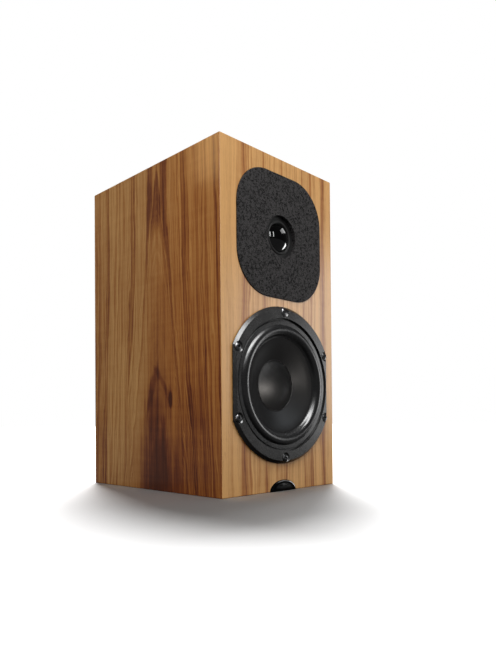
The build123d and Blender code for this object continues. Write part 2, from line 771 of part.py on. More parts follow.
def post_stud():
    stud = disc(STUD_RADIUS, STUD_REAR, STUD_FRONT)
    return stud - disc(SOCKET_RADIUS, STUD_FRONT - SOCKET_DEPTH, STUD_FRONT + 1)


def post_base():
    return ring(STUD_RADIUS + THREAD_CLEARANCE, POST_BASE_RADIUS, CUP_FLOOR, POST_BASE_TOP)


def post_collar():
    return ring(STUD_RADIUS + THREAD_CLEARANCE, COLLAR_RADIUS, POST_BASE_TOP, COLLAR_TOP)


def post_knob():
    knob = disc(KNOB_RADIUS, COLLAR_TOP, STUD_FRONT)
    knob = chamfer(knob.edges().filter_by(GeomType.CIRCLE), KNOB_CHAMFER)
    flute = disc(FLUTE_RADIUS, COLLAR_TOP + KNOB_BAND, STUD_FRONT + 1)
    knob -= [place * flute for place in around(FLUTE_CIRCLE, FLUTE_COUNT)]
    return knob - disc(STUD_RADIUS + THREAD_CLEARANCE, COLLAR_TOP - 1, STUD_FRONT + 1)


def solder_tag():
    tail = Pos(0, SOLDER_TAG_TAIL / 2) * Rectangle(SOLDER_TAG_WIDTH, SOLDER_TAG_TAIL)
    outline = Circle(SOLDER_TAG_RADIUS) + tail - Circle(STUD_RADIUS + THREAD_CLEARANCE)
    end = CUP_FLOOR - CUP_FLOOR_THICK
    return slab(outline, end - SOLDER_TAG_THICK, end)


def post_nut():
    end = CUP_FLOOR - CUP_FLOOR_THICK - SOLDER_TAG_THICK
    outline = RegularPolygon(NUT_ACROSS / 2, 6, major_radius=False) - Circle(STUD_RADIUS + THREAD_CLEARANCE)
    return slab(outline, end - NUT_THICK, end)


def on_posts(piece):
    """The same piece on both posts: black at -X and red at +X."""
    return [on_rear(TERMINAL_Z) * place * piece for place in post_places()]


def standoff_places():
    half_x = BOARD[0] / 2 - STANDOFF_INSET
    half_y = BOARD[1] / 2 - STANDOFF_INSET
    return [Pos(0, BOARD_Y, 0) * place for place in corners(half_x, half_y)]


def crossover_board():
    board = Pos(0, BOARD_Y, PANEL + STANDOFF_HEIGHT) * Box(*BOARD, align=BOTTOM)
    hole = disc(BOARD_SCREW_RADIUS + THROUGH_CLEARANCE, PANEL, BOARD_TOP_Z + 1)
    return board - [place * hole for place in standoff_places()]


def crossover_standoffs():
    post = ring(BOARD_SCREW_RADIUS + THROUGH_CLEARANCE, STANDOFF_RADIUS, PANEL, PANEL + STANDOFF_HEIGHT)
    return group([place * post for place in standoff_places()])


def crossover_screws():
    head, height = BOARD_SCREW_HEAD
    screw = disc(head, BOARD_TOP_Z, BOARD_TOP_Z + height)
    screw += disc(BOARD_SCREW_RADIUS, PANEL - BOARD_SCREW_BITE + PILOT_EXTRA, BOARD_TOP_Z)
    return group([place * screw for place in standoff_places()])


def inductor(x, y, inner, outer, height):
    return Pos(x, y, 0) * ring(inner, outer, BOARD_TOP_Z, BOARD_TOP_Z + height)


def crossover_capacitors():
    cans = []
    for x, y, radius, length in CAPACITORS:
        height = BOARD_TOP_Z + radius + CAPACITOR_LIFT
        cans.append(Pos(x, y, height) * Rot(0, 90, 0) * Cylinder(radius, length))
    return group(cans)


def crossover_resistor():
    x, y, length, width, height = RESISTOR
    return Pos(x, y, BOARD_TOP_Z) * Box(length, width, height, align=BOTTOM)


def lead(*points):
    """A round insulated lead along straight runs with equal bends."""
    path = FilletPolyline(*points, radius=LEAD_BEND)
    section = Plane(origin=path @ 0, z_dir=path % 0) * Circle(LEAD_RADIUS)
    return sweep(section, path)


def input_leads():
    face_y = REAR_Y + CUP_FLOOR - CUP_FLOOR_THICK - SOLDER_TAG_THICK
    start_z = TERMINAL_Z - SOLDER_TAG_TAIL + SOLDER_JOINT
    leads = []
    for side in (-1, 1):
        x = side * POST_SPACING / 2
        leads.append(lead((x, face_y, start_z), (x, INPUT_DROP_Y, start_z), (x, INPUT_DROP_Y, BOARD_TOP_Z)))
    return group(leads)


def woofer_leads():
    start_y = FRONT_Y + TERMINAL_BLOCK_DEPTH
    start_z = TERMINAL_BLOCK_TOP - TERMINAL_BLOCK[2] - TAB[2]
    leads = []
    for side in (-1, 1):
        x = side * TAB_SPACING / 2
        leads.append(lead(
            (x, start_y, start_z), (x, start_y, 31), (x, -45, 26), (x, DRIVER_DROP_Y, 38),
            (x, DRIVER_DROP_Y, BOARD_TOP_Z),
        ))
    return group(leads)


def tweeter_leads():
    start_y = FRONT_Y + REAR_CUP_END + TAG[2]
    leads = []
    for side in (-1, 1):
        x = side * TAG_SPACING / 2
        run = side * TWEETER_RUN_X
        leads.append(lead(
            (x, start_y, TWEETER_Z), (x, -34, TWEETER_Z), (run, -24, 205), (run, DRIVER_DROP_Y, 60),
            (run, DRIVER_DROP_Y, BOARD_TOP_Z),
        ))
    return group(leads)


def pieces():
    studs = on_posts(post_stud())
    bases = on_posts(post_base())
    collars = on_posts(post_collar())
    knobs = on_posts(post_knob())
    return {
        "left_side_panel": side_panel(-1),
        "right_side_panel": side_panel(1),
        "top_panel": level_panel(CABINET_HEIGHT, -1),
        "bottom_panel": bottom_panel(),
        "front_baffle": front_baffle(),
        "rear_panel": rear_panel(),
        "internal_brace": internal_brace(),
        "damping_foam_left": side_foam(-1),
        "damping_foam_right": side_foam(1),
        "damping_foam_rear": rear_foam(),
        "front_badge": front_badge(),
        "woofer_basket": woofer_basket(),
        "woofer_gasket": woofer_gasket(),
        "woofer_screws": woofer_screws(),
        "woofer_surround": woofer_surround(),
        "woofer_cone": woofer_cone(),
        "woofer_dust_cap": woofer_dust_cap(),
        "woofer_coil_former": woofer_coil_former(),
        "woofer_voice_coil": woofer_voice_coil(),
        "woofer_spider": woofer_spider(),
        "woofer_top_plate": woofer_top_plate(),
        "woofer_magnet": woofer_magnet(),
        "woofer_yoke": woofer_yoke(),
        "woofer_terminals": woofer_terminals(),
        "tweeter_faceplate": tweeter_faceplate(),
        "tweeter_chassis": tweeter_chassis(),
        "tweeter_gasket": tweeter_gasket(),
        "tweeter_screws": tweeter_screws(),
        "tweeter_dome": tweeter_dome(),
        "tweeter_surround": tweeter_surround(),
        "tweeter_voice_coil": tweeter_voice_coil(),
        "tweeter_top_plate": tweeter_top_plate(),
        "tweeter_magnet": tweeter_magnet(),
        "tweeter_yoke": tweeter_yoke(),
        "tweeter_rear_cup": tweeter_rear_cup(),
        "tweeter_tags": tweeter_tags(),
        "port_tube": port_tube(),
        "terminal_cup": terminal_cup(),
        "terminal_gasket": terminal_gasket(),
        "terminal_cup_screws": terminal_cup_screws(),
        "post_stud_black": studs[0],
        "post_stud_red": studs[1],
        "post_base_black": bases[0],
        "post_base_red": bases[1],
        "post_collar_black": collars[0],
        "post_collar_red": collars[1],
        "post_knob_black": knobs[0],
        "post_knob_red": knobs[1],
        "post_nuts": group(on_posts(post_nut())),
        "solder_tags": group(on_posts(solder_tag())),
        "crossover_board": crossover_board(),
        "crossover_standoffs": crossover_standoffs(),
        "crossover_screws": crossover_screws(),
        "woofer_inductor": inductor(*WOOFER_INDUCTOR),
        "tweeter_inductor": inductor(*TWEETER_INDUCTOR),
        "crossover_capacitors": crossover_capacitors(),
        "crossover_resistor": crossover_resistor(),
        "input_leads": input_leads(),
        "woofer_leads": woofer_leads(),
        "tweeter_leads": tweeter_leads(),
    }


os.makedirs("parts", exist_ok=True)
for name, piece in pieces().items():
    export_step(piece, f"parts/{name}.step")
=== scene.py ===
"""Dresses the solids of a two-way bookshelf loudspeaker: veneer, drive units, port, terminals and stage."""
import json
import math

import bmesh
import bpy
from bpy.props import FloatProperty, FloatVectorProperty, IntProperty, PointerProperty
from mathutils import Matrix, Vector
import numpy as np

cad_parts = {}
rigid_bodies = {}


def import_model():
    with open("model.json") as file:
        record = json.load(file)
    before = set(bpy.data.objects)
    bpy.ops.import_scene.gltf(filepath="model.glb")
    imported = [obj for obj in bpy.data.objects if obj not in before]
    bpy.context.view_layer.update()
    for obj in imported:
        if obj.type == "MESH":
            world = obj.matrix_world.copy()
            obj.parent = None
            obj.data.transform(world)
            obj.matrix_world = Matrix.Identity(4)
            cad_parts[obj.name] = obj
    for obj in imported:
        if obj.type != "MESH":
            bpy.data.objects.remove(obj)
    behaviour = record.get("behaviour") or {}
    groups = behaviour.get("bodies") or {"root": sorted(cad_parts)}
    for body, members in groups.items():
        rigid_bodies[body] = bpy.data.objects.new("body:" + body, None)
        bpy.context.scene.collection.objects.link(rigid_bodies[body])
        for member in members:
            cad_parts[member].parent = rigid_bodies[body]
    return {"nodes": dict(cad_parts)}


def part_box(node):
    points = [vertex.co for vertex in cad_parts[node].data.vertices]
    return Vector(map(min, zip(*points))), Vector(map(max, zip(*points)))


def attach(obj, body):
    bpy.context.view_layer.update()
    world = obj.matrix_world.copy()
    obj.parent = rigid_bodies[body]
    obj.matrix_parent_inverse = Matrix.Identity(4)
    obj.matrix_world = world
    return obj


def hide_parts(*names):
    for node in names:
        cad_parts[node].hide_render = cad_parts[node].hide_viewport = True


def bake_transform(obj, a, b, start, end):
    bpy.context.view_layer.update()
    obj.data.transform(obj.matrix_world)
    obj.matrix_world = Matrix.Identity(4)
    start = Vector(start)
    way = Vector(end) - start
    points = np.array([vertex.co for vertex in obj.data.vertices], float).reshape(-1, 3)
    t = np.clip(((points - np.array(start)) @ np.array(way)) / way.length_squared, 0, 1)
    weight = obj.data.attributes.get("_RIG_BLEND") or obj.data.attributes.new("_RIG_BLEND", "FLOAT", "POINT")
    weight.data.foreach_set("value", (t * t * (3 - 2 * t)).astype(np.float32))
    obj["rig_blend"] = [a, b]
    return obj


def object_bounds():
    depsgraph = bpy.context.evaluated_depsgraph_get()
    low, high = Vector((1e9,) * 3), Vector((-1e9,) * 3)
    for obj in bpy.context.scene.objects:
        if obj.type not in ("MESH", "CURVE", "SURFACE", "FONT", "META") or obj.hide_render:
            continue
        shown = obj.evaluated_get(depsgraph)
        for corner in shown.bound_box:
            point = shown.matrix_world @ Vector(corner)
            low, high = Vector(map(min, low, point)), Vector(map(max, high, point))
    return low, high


bl_info = {
    "name": "Bookshelf Loudspeaker",
    "version": (1, 0, 0),
    "blender": (4, 5, 0),
    "location": "View3D > Sidebar > Speaker",
    "description": "Veneer, drive units, port, terminals and stage of a bookshelf loudspeaker",
    "category": "Object",
}

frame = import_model()
CAD_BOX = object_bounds()
MM = 0.001
MICRON = 1e-6
STEPS_PER_RADIAN = 9
FRONT_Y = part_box("front_baffle")[0].y
REAR_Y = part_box("rear_panel")[1].y
TOP_Z = CAD_BOX[1].z


def middle(node):
    low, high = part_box(node)
    return (low + high) / 2


WOOFER_Z = middle("woofer_cone").z
TWEETER_Z = middle("tweeter_dome").z


def length(name, words, millimetres):
    return FloatProperty(
        name=name, description=words, unit="LENGTH", subtype="DISTANCE", precision=5, min=0.0,
        default=millimetres * MM)


def tone(name, words, colour):
    return FloatVectorProperty(
        name=name, description=words, subtype="COLOR", size=3, min=0.0, max=1.0, default=colour)


def share(name, words, value):
    return FloatProperty(name=name, description=words, subtype="FACTOR", min=0.0, max=1.0, default=value)


def power(name, words, watts):
    return FloatProperty(name=name, description=words, unit="POWER", min=0.0, default=watts)


class VeneerSettings(bpy.types.PropertyGroup):
    pale: tone("Pale wood", "Colour between the growth lines", (0.55, 0.30, 0.112))
    warm: tone("Warm wood", "Middle colour of the veneer", (0.40, 0.172, 0.052))
    dark: tone("Dark lines", "Colour of the growth lines", (0.185, 0.057, 0.026))
    deep: tone("Deep wood", "Colour of the knots and the heart", (0.085, 0.029, 0.019))
    blush: tone("Blush", "Tint of the redder wood towards the front", (1.0, 0.84, 0.66))
    lacquer: share("Lacquer", "Weight of the clear coat", 0.5)
    lacquer_blur: share("Lacquer blur", "Roughness of the clear coat", 0.12)
    pore_depth: length("Pore depth", "Depth of the pores under the lacquer", 0.05)


class WooferSettings(bpy.types.PropertyGroup):
    lip: length("Lip radius", "Outer radius of the surround's flat lip", 61.7)
    foot: length("Roll foot", "Radius where the roll rises from the lip", 57.6)
    crest: length("Roll crest", "Radius of the top of the roll", 51.4)
    inner: length("Roll inner edge", "Radius where the roll meets the cone", 45.75)
    skin: length("Rubber thickness", "Thickness of the surround", 0.9)
    cone: length("Cone radius", "Outer radius of the cone", 45.4)
    cap: length("Cap radius", "Radius of the dust cap", 24.2)
    rubber: tone("Rubber", "Colour of the surround", (0.007, 0.007, 0.0072))
    paper: tone("Cone", "Colour of the cone and the dust cap", (0.006, 0.006, 0.0062))
    metal: tone("Frame", "Colour of the painted frame", (0.012, 0.0117, 0.0115))
    steps: IntProperty(name="Steps", description="Steps round the axis", min=48, default=192)


class TweeterSettings(bpy.types.PropertyGroup):
    dome: length("Dome radius", "Radius of the dome", 13.7)
    rise: length("Dome height", "Height of the dome", 6.1)
    plate: tone("Plate", "Colour of the textured plate", (0.005, 0.0047, 0.0047))
    gloss: tone("Dome", "Colour of the coated dome", (0.0016, 0.0016, 0.0018))
    grain: length("Plate grain", "Size of the plate's texture", 0.85)
    steps: IntProperty(name="Steps", description="Steps round the axis", min=48, default=128)


class RearSettings(bpy.types.PropertyGroup):
    plastic: tone("Plastic", "Colour of the port and the terminal cup", (0.018, 0.018, 0.019))
    plating: tone("Plating", "Colour of the plated posts", (0.83, 0.56, 0.20))
    red: tone("Red knob", "Colour of the positive knob", (0.46, 0.018, 0.016))
    black: tone("Black knob", "Colour of the negative knob", (0.012, 0.012, 0.012))


class InsideSettings(bpy.types.PropertyGroup):
    foam: tone("Foam", "Colour of the damping foam", (0.045, 0.047, 0.052))
    peak: length("Foam peaks", "Height of the foam's peaks", 6.0)
    pitch: length("Foam pitch", "Distance between the foam's peaks", 16.0)
    copper: tone("Copper", "Colour of the windings", (0.62, 0.25, 0.11))
    board: tone("Board", "Colour of the circuit board", (0.018, 0.12, 0.05))


class StageSettings(bpy.types.PropertyGroup):
    front: power("Front lights", "The wider of two tall strip lights ahead of the drivers, to the left", 3.0)
    overhead: power("Overhead light", "Soft box above and ahead of the front", 10.8)
    crown: power("Frame light", "Soft box above and ahead, which the woofer's frame and roll mirror", 24.0)
    roll: power("Roll light", "Wide soft box high on the left, which the woofer's roll mirrors", 6.0)
    cone: power("Cone light", "Soft box ahead on the right, which the lower part of the cone mirrors", 3.0)
    left: power("Left light", "Wide soft box to the left of the front", 6.8)
    wall: power("Right wall", "White wall ahead on the right, which the lacquer mirrors", 5.2)
    frame: power("Frame wall", "Lower part of the right wall, which the woofer's frame mirrors", 6.2)
    rear: power("Rear light", "Wide soft box behind on the right, for the sides that face away", 9.0)
    right: power("Right light", "Soft box high on the right, which the dome and the badge mirror", 3.4)
    card: power("Right card", "Low strip on the right, which the dome and the badge mirror", 2.0)
    table: power("Table light", "Low card ahead of the woofer, which its cone and cap mirror", 1.4)
    side: power("Side light", "Soft box behind and above the left side", 1.6)
    amber: tone("Amber", "Tint of the side light", (1.0, 0.68, 0.3))
    ivory: tone("Ivory", "Tint of the table light", (1.0, 0.94, 0.88))
    blue: tone("Blue", "Tint of the cone light", (0.88, 0.94, 1.0))
    shadow: FloatProperty(
        name="Shadow light", description="Light from behind that only the floor takes", min=0.0, default=6.0)
    fill: share("Fill", "Strength of the even light from all round", 0.15)


class Finish:
    """A material being wired: nodes are added by type, and their sockets are set or linked by name."""

    def __init__(self, name, sockets):
        self.material = bpy.data.materials.new(name)
        self.material.use_nodes = True
        self.nodes = self.material.node_tree.nodes
        self.links = self.material.node_tree.links
        self.shader = self.nodes["Principled BSDF"]
        self.place = self.add("ShaderNodeTexCoord").outputs["Object"]
        self.feed(self.shader, sockets)

    def feed(self, node, sockets):
        for key, value in sockets.items():
            socket = node.inputs[key]
            if isinstance(value, bpy.types.NodeSocket):
                self.links.new(value, socket)
            else:
                socket.default_value = value

    def add(self, kind, sockets=None, **settings):
        node = self.nodes.new(kind)
        for key, value in settings.items():
            setattr(node, key, value)
        self.feed(node, sockets or {})
        return node

    def sum(self, operation, *terms):
        node = self.add("ShaderNodeMath", dict(enumerate(terms)), operation=operation)
        return node.outputs["Value"]

    def axes(self):
        return self.add("ShaderNodeSeparateXYZ", {"Vector": self.place}).outputs

    def scaled(self, scale, shift):
        sockets = {"Vector": self.place, "Scale": scale, "Location": shift}
        return self.add("ShaderNodeMapping", sockets).outputs["Vector"]

    def noise(self, vector, scale=1.0, detail=2.0, rough=0.5):
        sockets = {"Vector": vector, "Scale": scale, "Detail": detail, "Roughness": rough}
        return self.add("ShaderNodeTexNoise", sockets).outputs["Fac"]

    def wander(self, value, detail=3.0, rough=0.6):
        sockets = {"W": value, "Scale": 1.0, "Detail": detail, "Roughness": rough}
        return self.add("ShaderNodeTexNoise", sockets, noise_dimensions="1D").outputs["Fac"]

    def cells(self, vector, scale):
        return self.add("ShaderNodeTexVoronoi", {"Vector": vector, "Scale": scale}).outputs["Distance"]

    def spread(self, value, low, high, to_low=0.0, to_high=1.0, kind="SMOOTHSTEP"):
        sockets = {"Value": value, "From Min": low, "From Max": high, "To Min": to_low, "To Max": to_high}
        node = self.add("ShaderNodeMapRange", sockets, interpolation_type=kind)
        return node.outputs["Result"]

    def ramp(self, value, *stops):
        node = self.add("ShaderNodeValToRGB", {"Fac": value})
        elements = node.color_ramp.elements
        while len(elements) < len(stops):
            elements.new(1.0)
        for element, (place, colour) in zip(elements, stops):
            element.position = place
            element.color = rgba(colour if isinstance(colour, tuple) else (colour,) * 3)
        return node.outputs["Color"]

    def mix(self, weight, first, second, blend="MIX"):
        node = self.add("ShaderNodeMix", data_type="RGBA", blend_type=blend)
        pairs = {"Factor_Float": weight, "A_Color": first, "B_Color": second}
        for index, socket in enumerate(node.inputs):
            if socket.identifier in pairs:
                self.feed(node, {index: pairs[socket.identifier]})
        return [socket for socket in node.outputs if socket.identifier == "Result_Color"][0]

    def bump(self, height, depth):
        sockets = {"Height": height, "Distance": depth, "Strength": 1.0}
        return self.add("ShaderNodeBump", sockets).outputs["Normal"]

    def done(self, **sockets):
        self.feed(self.shader, {key.replace("_", " "): value for key, value in sockets.items()})
        return self.material


class Wiring(Finish):
    """The same for a tree of nodes that isn't a material's."""

    def __init__(self, tree):
        self.nodes = tree.nodes
        self.links = tree.links


def lobe(wiring, direction, towards, edge, full, dim, bright):
    """How bright the studio is in reflections: bright towards one direction and dim away from it."""
    ahead = wiring.add("ShaderNodeVectorMath", {0: direction}, operation="NORMALIZE").outputs["Vector"]
    facing = wiring.add("ShaderNodeVectorMath", {0: ahead, 1: towards}, operation="DOT_PRODUCT")
    return wiring.spread(facing.outputs["Value"], edge, full, dim, bright)


def shade(colour, factor):
    return tuple(min(channel * factor, 1.0) for channel in colour)


def rgba(colour):
    return (*colour, 1.0)


def moulded(name, colour, rough, grain=0.6, depth=0.02, vary=0.25, mottle=14.0, **fixed):
    """A skin of even colour with fine grain and slow mottling. Grain, depth and mottle are millimetres."""
    skin = Finish(name, {key.replace("_", " "): value for key, value in fixed.items()})
    fine = skin.noise(skin.place, 1 / (grain * MM), 3.0, 0.6)
    slow = skin.noise(skin.place, 1 / (mottle * MM), 4.0, 0.6)
    both = skin.sum("MULTIPLY_ADD", fine, 0.4, skin.sum("MULTIPLY", slow, 0.6))
    low, high = shade(colour, 1 - vary), shade(colour, 1 + vary)
    return skin.done(
        Base_Color=skin.ramp(both, (0.3, low), (0.7, high)),
        Roughness=skin.spread(both, 0.3, 0.7, rough - 0.06, rough + 0.06),
        Normal=skin.bump(fine, depth * MM),
    )


def plated(name, colour, rough, pitch):
    """Turned or plated metal, with fine tool marks from front to back. The pitch is millimetres."""
    depth, vary = 0.006, 0.12
    metal = Finish(name, {"Metallic": 1.0})
    along = metal.sum("MULTIPLY", metal.axes()["Y"], 1 / (pitch * MM))
    marks = metal.wander(along, 2.0, 0.5)
    slow = metal.noise(metal.place, 180.0, 4.0, 0.6)
    both = metal.sum("MULTIPLY_ADD", marks, 0.45, metal.sum("MULTIPLY", slow, 0.55))
    return metal.done(
        Base_Color=metal.ramp(both, (0.3, shade(colour, 1 - vary)), (0.7, shade(colour, 1 + vary))),
        Roughness=metal.spread(both, 0.3, 0.7, rough + 0.1, rough - 0.06),
        Normal=metal.bump(marks, depth * MM),
    )


def bands(wood, ring, lines):
    """Dark bands on the scale of growth rings: a place, the fade before and after it, and a strength."""
    low, high = -60.0, 160.0
    stops = []
    for place, before, after, strength in lines:
        for reach, dark in ((-before, 0.0), (0.0, strength), (after, 0.0)):
            stops.append(((place + reach - low) / (high - low), dark))
    scaled = wood.spread(ring, low, high, kind="LINEAR")
    return wood.ramp(scaled, *stops)


def veneer(name, look, across, along, start, heart, slope=0.0, seed=0.0, mean=0.7, painted_shade_down=0.0,
           streaks=(1.0, 1.0), bolder=(1.0, 1.0), broad=(), fine=(), stains=(), redder=None, coat=(1.0, 1.0)):
    """Flat-sawn walnut: growth lines are hyperbolas about a heart line that opens along the grain.

    across and along are axis letters, start is where the grain begins in metres and heart is the heart line
    in metres across. Bands, lines and stains are millimetres from the heart and from the start. A stain is a
    place across and along, its half sizes, a strength and how far it leans across for each step along.
    The pairs of factors are for coarse and close streaks, for bands at the start and the end (bolder) and for
    the lacquer's weight and blur (coat). redder is where across the blush begins and where it is full.
    """
    full_run = 320.0
    wood = Finish(name, {
        "Coat Weight": look.lacquer * coat[0], "Coat Roughness": look.lacquer_blur * coat[1], "Coat IOR": 1.5,
        "Specular IOR Level": 0.12,
    })
    axes = wood.axes()

    def grained(across_scale, along_scale, shift):
        scale = [across_scale] * 3
        scale["XYZ".index(along)] = along_scale
        return wood.scaled(scale, (shift, shift, shift))

    def swing(value, reach):
        return wood.sum("MULTIPLY", wood.sum("SUBTRACT", value, 0.5), reach)

    drift = wood.noise(grained(60, 6, seed))
    ripple = wood.noise(grained(170, 30, seed + 2.0))
    offset = wood.sum("MULTIPLY", wood.sum("SUBTRACT", axes[across], heart), 1 / MM)
    offset = wood.sum("ADD", offset, wood.sum("ADD", swing(drift, 12.0), swing(ripple, 4.5)))
    run = wood.sum("MULTIPLY", wood.sum("SUBTRACT", start, axes[along]), 1 / MM)
    opened = wood.sum("MULTIPLY", run, slope)
    square = wood.sum("SUBTRACT", wood.sum("MULTIPLY", offset, offset), wood.sum("MULTIPLY", opened, opened))
    ring = wood.sum("DIVIDE", square, wood.sum("SQRT", wood.sum("ADD", wood.sum("ABSOLUTE", square), 12.0)))
    counted = wood.sum("ADD", ring, seed * 40.0)
    coarse = wood.wander(wood.sum("MULTIPLY", counted, 0.1), 2.0, 0.5)
    close = wood.wander(wood.sum("MULTIPLY", counted, 0.4))
    fibre = wood.noise(grained(1300, 26, seed), 1.0, 3.0, 0.6)
    pores = wood.noise(grained(2600, 160, seed + 1.0))
    cloud = wood.noise(grained(30, 13, seed + 3.0), 1.0, 3.0, 0.55)
    figure = wood.noise(grained(22, 190, seed + 5.0))
    straight = wood.noise(grained(300, 5, seed + 7.0), 1.0, 2.0, 0.55)
    outside = wood.spread(ring, -24.0, 4.0, 0.15, 1.0)
    rings = wood.sum("ADD", swing(coarse, 0.42 * streaks[0]), swing(close, 0.42 * streaks[1]))
    # Painted shade: the wood darkens steadily towards the bottom of the panel, a little more for each
    # millimetre down from the start.
    light = wood.sum("MULTIPLY_ADD", run, -painted_shade_down, mean)
    light = wood.sum("MULTIPLY_ADD", rings, outside, light)
    for value, reach in ((straight, 0.3 * streaks[1]), (fibre, 0.5), (cloud, 0.34), (figure, 0.14)):
        light = wood.sum("ADD", light, swing(value, reach))
    bold = wood.spread(run, 0.0, full_run, *bolder, kind="LINEAR")
    for lines in (broad, fine):
        if lines:
            light = wood.sum("SUBTRACT", light, wood.sum("MULTIPLY", bands(wood, ring, lines), bold))
    torn = wood.spread(wood.noise(grained(150, 13, seed + 9.0), 1.0, 3.0, 0.6), 0.3, 0.7, 0.55, 1.6)
    for aside, down, half_across, half_along, strength, lean in stains:
        below = wood.sum("SUBTRACT", run, down)
        side = wood.sum("MULTIPLY_ADD", below, -lean, wood.sum("SUBTRACT", offset, aside))
        side = wood.sum("DIVIDE", side, half_across)
        level = wood.sum("DIVIDE", below, half_along)
        reach = wood.sum("MULTIPLY_ADD", side, side, wood.sum("MULTIPLY", level, level))
        reach = wood.sum("MULTIPLY", reach, torn)
        light = wood.sum("SUBTRACT", light, wood.spread(reach, 0.0, 3.0, strength, 0.0))
    colour = wood.ramp(
        light, (0.0, tuple(look.deep)), (0.22, tuple(look.dark)), (0.52, tuple(look.warm)),
        (0.82, tuple(look.pale)), (1.0, shade(look.pale, 1.12)))
    if redder:
        red = wood.spread(offset, *redder)
        colour = wood.mix(red, colour, rgba(look.blush), "MULTIPLY")
    pore = wood.spread(pores, 0.60, 0.74)
    colour = wood.mix(wood.sum("MULTIPLY", pore, 0.35), colour, rgba(look.dark))
    height = wood.sum("SUBTRACT", wood.sum("MULTIPLY", fibre, 0.25), pore)
    return wood.done(
        Base_Color=colour,
        Roughness=wood.spread(light, 0.2, 0.9, 0.55, 0.42),
        Normal=wood.bump(height, look.pore_depth * 0.5),
    )


def dress(material, *nodes):
    for node in nodes:
        for slot in frame["nodes"][node].material_slots:
            slot.material = material


def on_axis(axis_z, radius, depth):
    """A point of an outline beside a driver's axis, from its radius and its depth behind the baffle."""
    return Vector((radius, FRONT_Y + depth, axis_z))


def arc_centre(first, second, third):
    """Centre of the circle through three outline points, and the angle swept from first to third."""
    (ax, ay), (bx, by), (cx, cy) = first, second, third
    turn = 2 * (ax * (by - cy) + bx * (cy - ay) + cx * (ay - by))
    a2, b2, c2 = ax * ax + ay * ay, bx * bx + by * by, cx * cx + cy * cy
    x = (a2 * (by - cy) + b2 * (cy - ay) + c2 * (ay - by)) / turn
    y = (a2 * (cx - bx) + b2 * (ax - cx) + c2 * (bx - ax)) / turn
    start = math.atan2(ay - y, ax - x)
    end = math.atan2(cy - y, cx - x)
    sweep = (end - start) % (2 * math.pi)
    through = (math.atan2(by - y, bx - x) - start) % (2 * math.pi)
    return (x, y), sweep if through < sweep else sweep - 2 * math.pi


def lathe(axis_z, steps, start, *moves):
    """Turn an outline about a driver's axis. A move is a point, or two for an arc through the first."""
    bm = bmesh.new()
    tip = bm.verts.new(on_axis(axis_z, *start))
    last = start
    for move in moves:
        if isinstance(move[0], tuple):
            centre, sweep = arc_centre(last, *move)
            arc = bmesh.ops.spin(
                bm, geom=[tip], cent=on_axis(axis_z, *centre), axis=(0, 0, 1), angle=sweep,
                steps=max(4, round(abs(sweep) * STEPS_PER_RADIAN)))
            tip = arc["geom_last"][0]
            last = move[1]
        else:
            tip = bmesh.ops.extrude_vert_indiv(bm, verts=[tip])["verts"][0]
            tip.co = on_axis(axis_z, *move)
            last = move
    bmesh.ops.spin(
        bm, geom=bm.verts[:] + bm.edges[:], cent=(0, 0, axis_z), axis=(0, 1, 0), angle=2 * math.pi,
        steps=steps, use_merge=True)
    return bm


def halfway(radius, rise, top):
    """The outline point halfway down a dome, from its radius, its rise and the depth of its top."""
    bulge = (radius * radius + rise * rise) / (2 * rise)
    half = math.asin(radius / bulge) / 2
    return bulge * math.sin(half), top + bulge - bulge * math.cos(half)


def mm(*pairs):
    """Outline moves from millimetres to metres."""
    return [
        tuple((radius * MM, depth * MM) for radius, depth in pair) if isinstance(pair[0], tuple)
        else (pair[0] * MM, pair[1] * MM)
        for pair in pairs
    ]


def put(name, data):
    """Put a new object in the scene, at the origin."""
    made = bpy.data.objects.new(name, data)
    bpy.context.scene.collection.objects.link(made)
    return made


def piece(name, bm, material, crease=35.0):
    """Close a bmesh into a smooth-shaded object at the origin, with one material."""
    bmesh.ops.remove_doubles(bm, verts=bm.verts[:], dist=MICRON)
    bmesh.ops.recalc_face_normals(bm, faces=bm.faces[:])
    mesh = bpy.data.meshes.new(name)
    bm.to_mesh(mesh)
    bm.free()
    mesh.shade_smooth()
    mesh.set_sharp_from_angle(angle=math.radians(crease))
    made = put(name, mesh)
    mesh.materials.append(material)
    return made


def flex(made, fixed_body, moving_body, axis_z, outer, inner):
    """Let a ring follow the cabinet at its outer radius and the moving body at its inner radius."""
    low = on_axis(axis_z, outer, 0)
    high = on_axis(axis_z, inner, 0)
    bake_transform(made, fixed_body, moving_body, start=tuple(low), end=tuple(high))
    weights = made.data.attributes["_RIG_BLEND"].data
    for vertex, weight in zip(made.data.vertices, weights):
        radius = math.hypot(vertex.co.x, vertex.co.z - axis_z)
        part = min(max((outer - radius) / (outer - inner), 0.0), 1.0)
        # An S curve, so that the ring leaves both edges flat.
        weight.value = part * part * (3 - 2 * part)


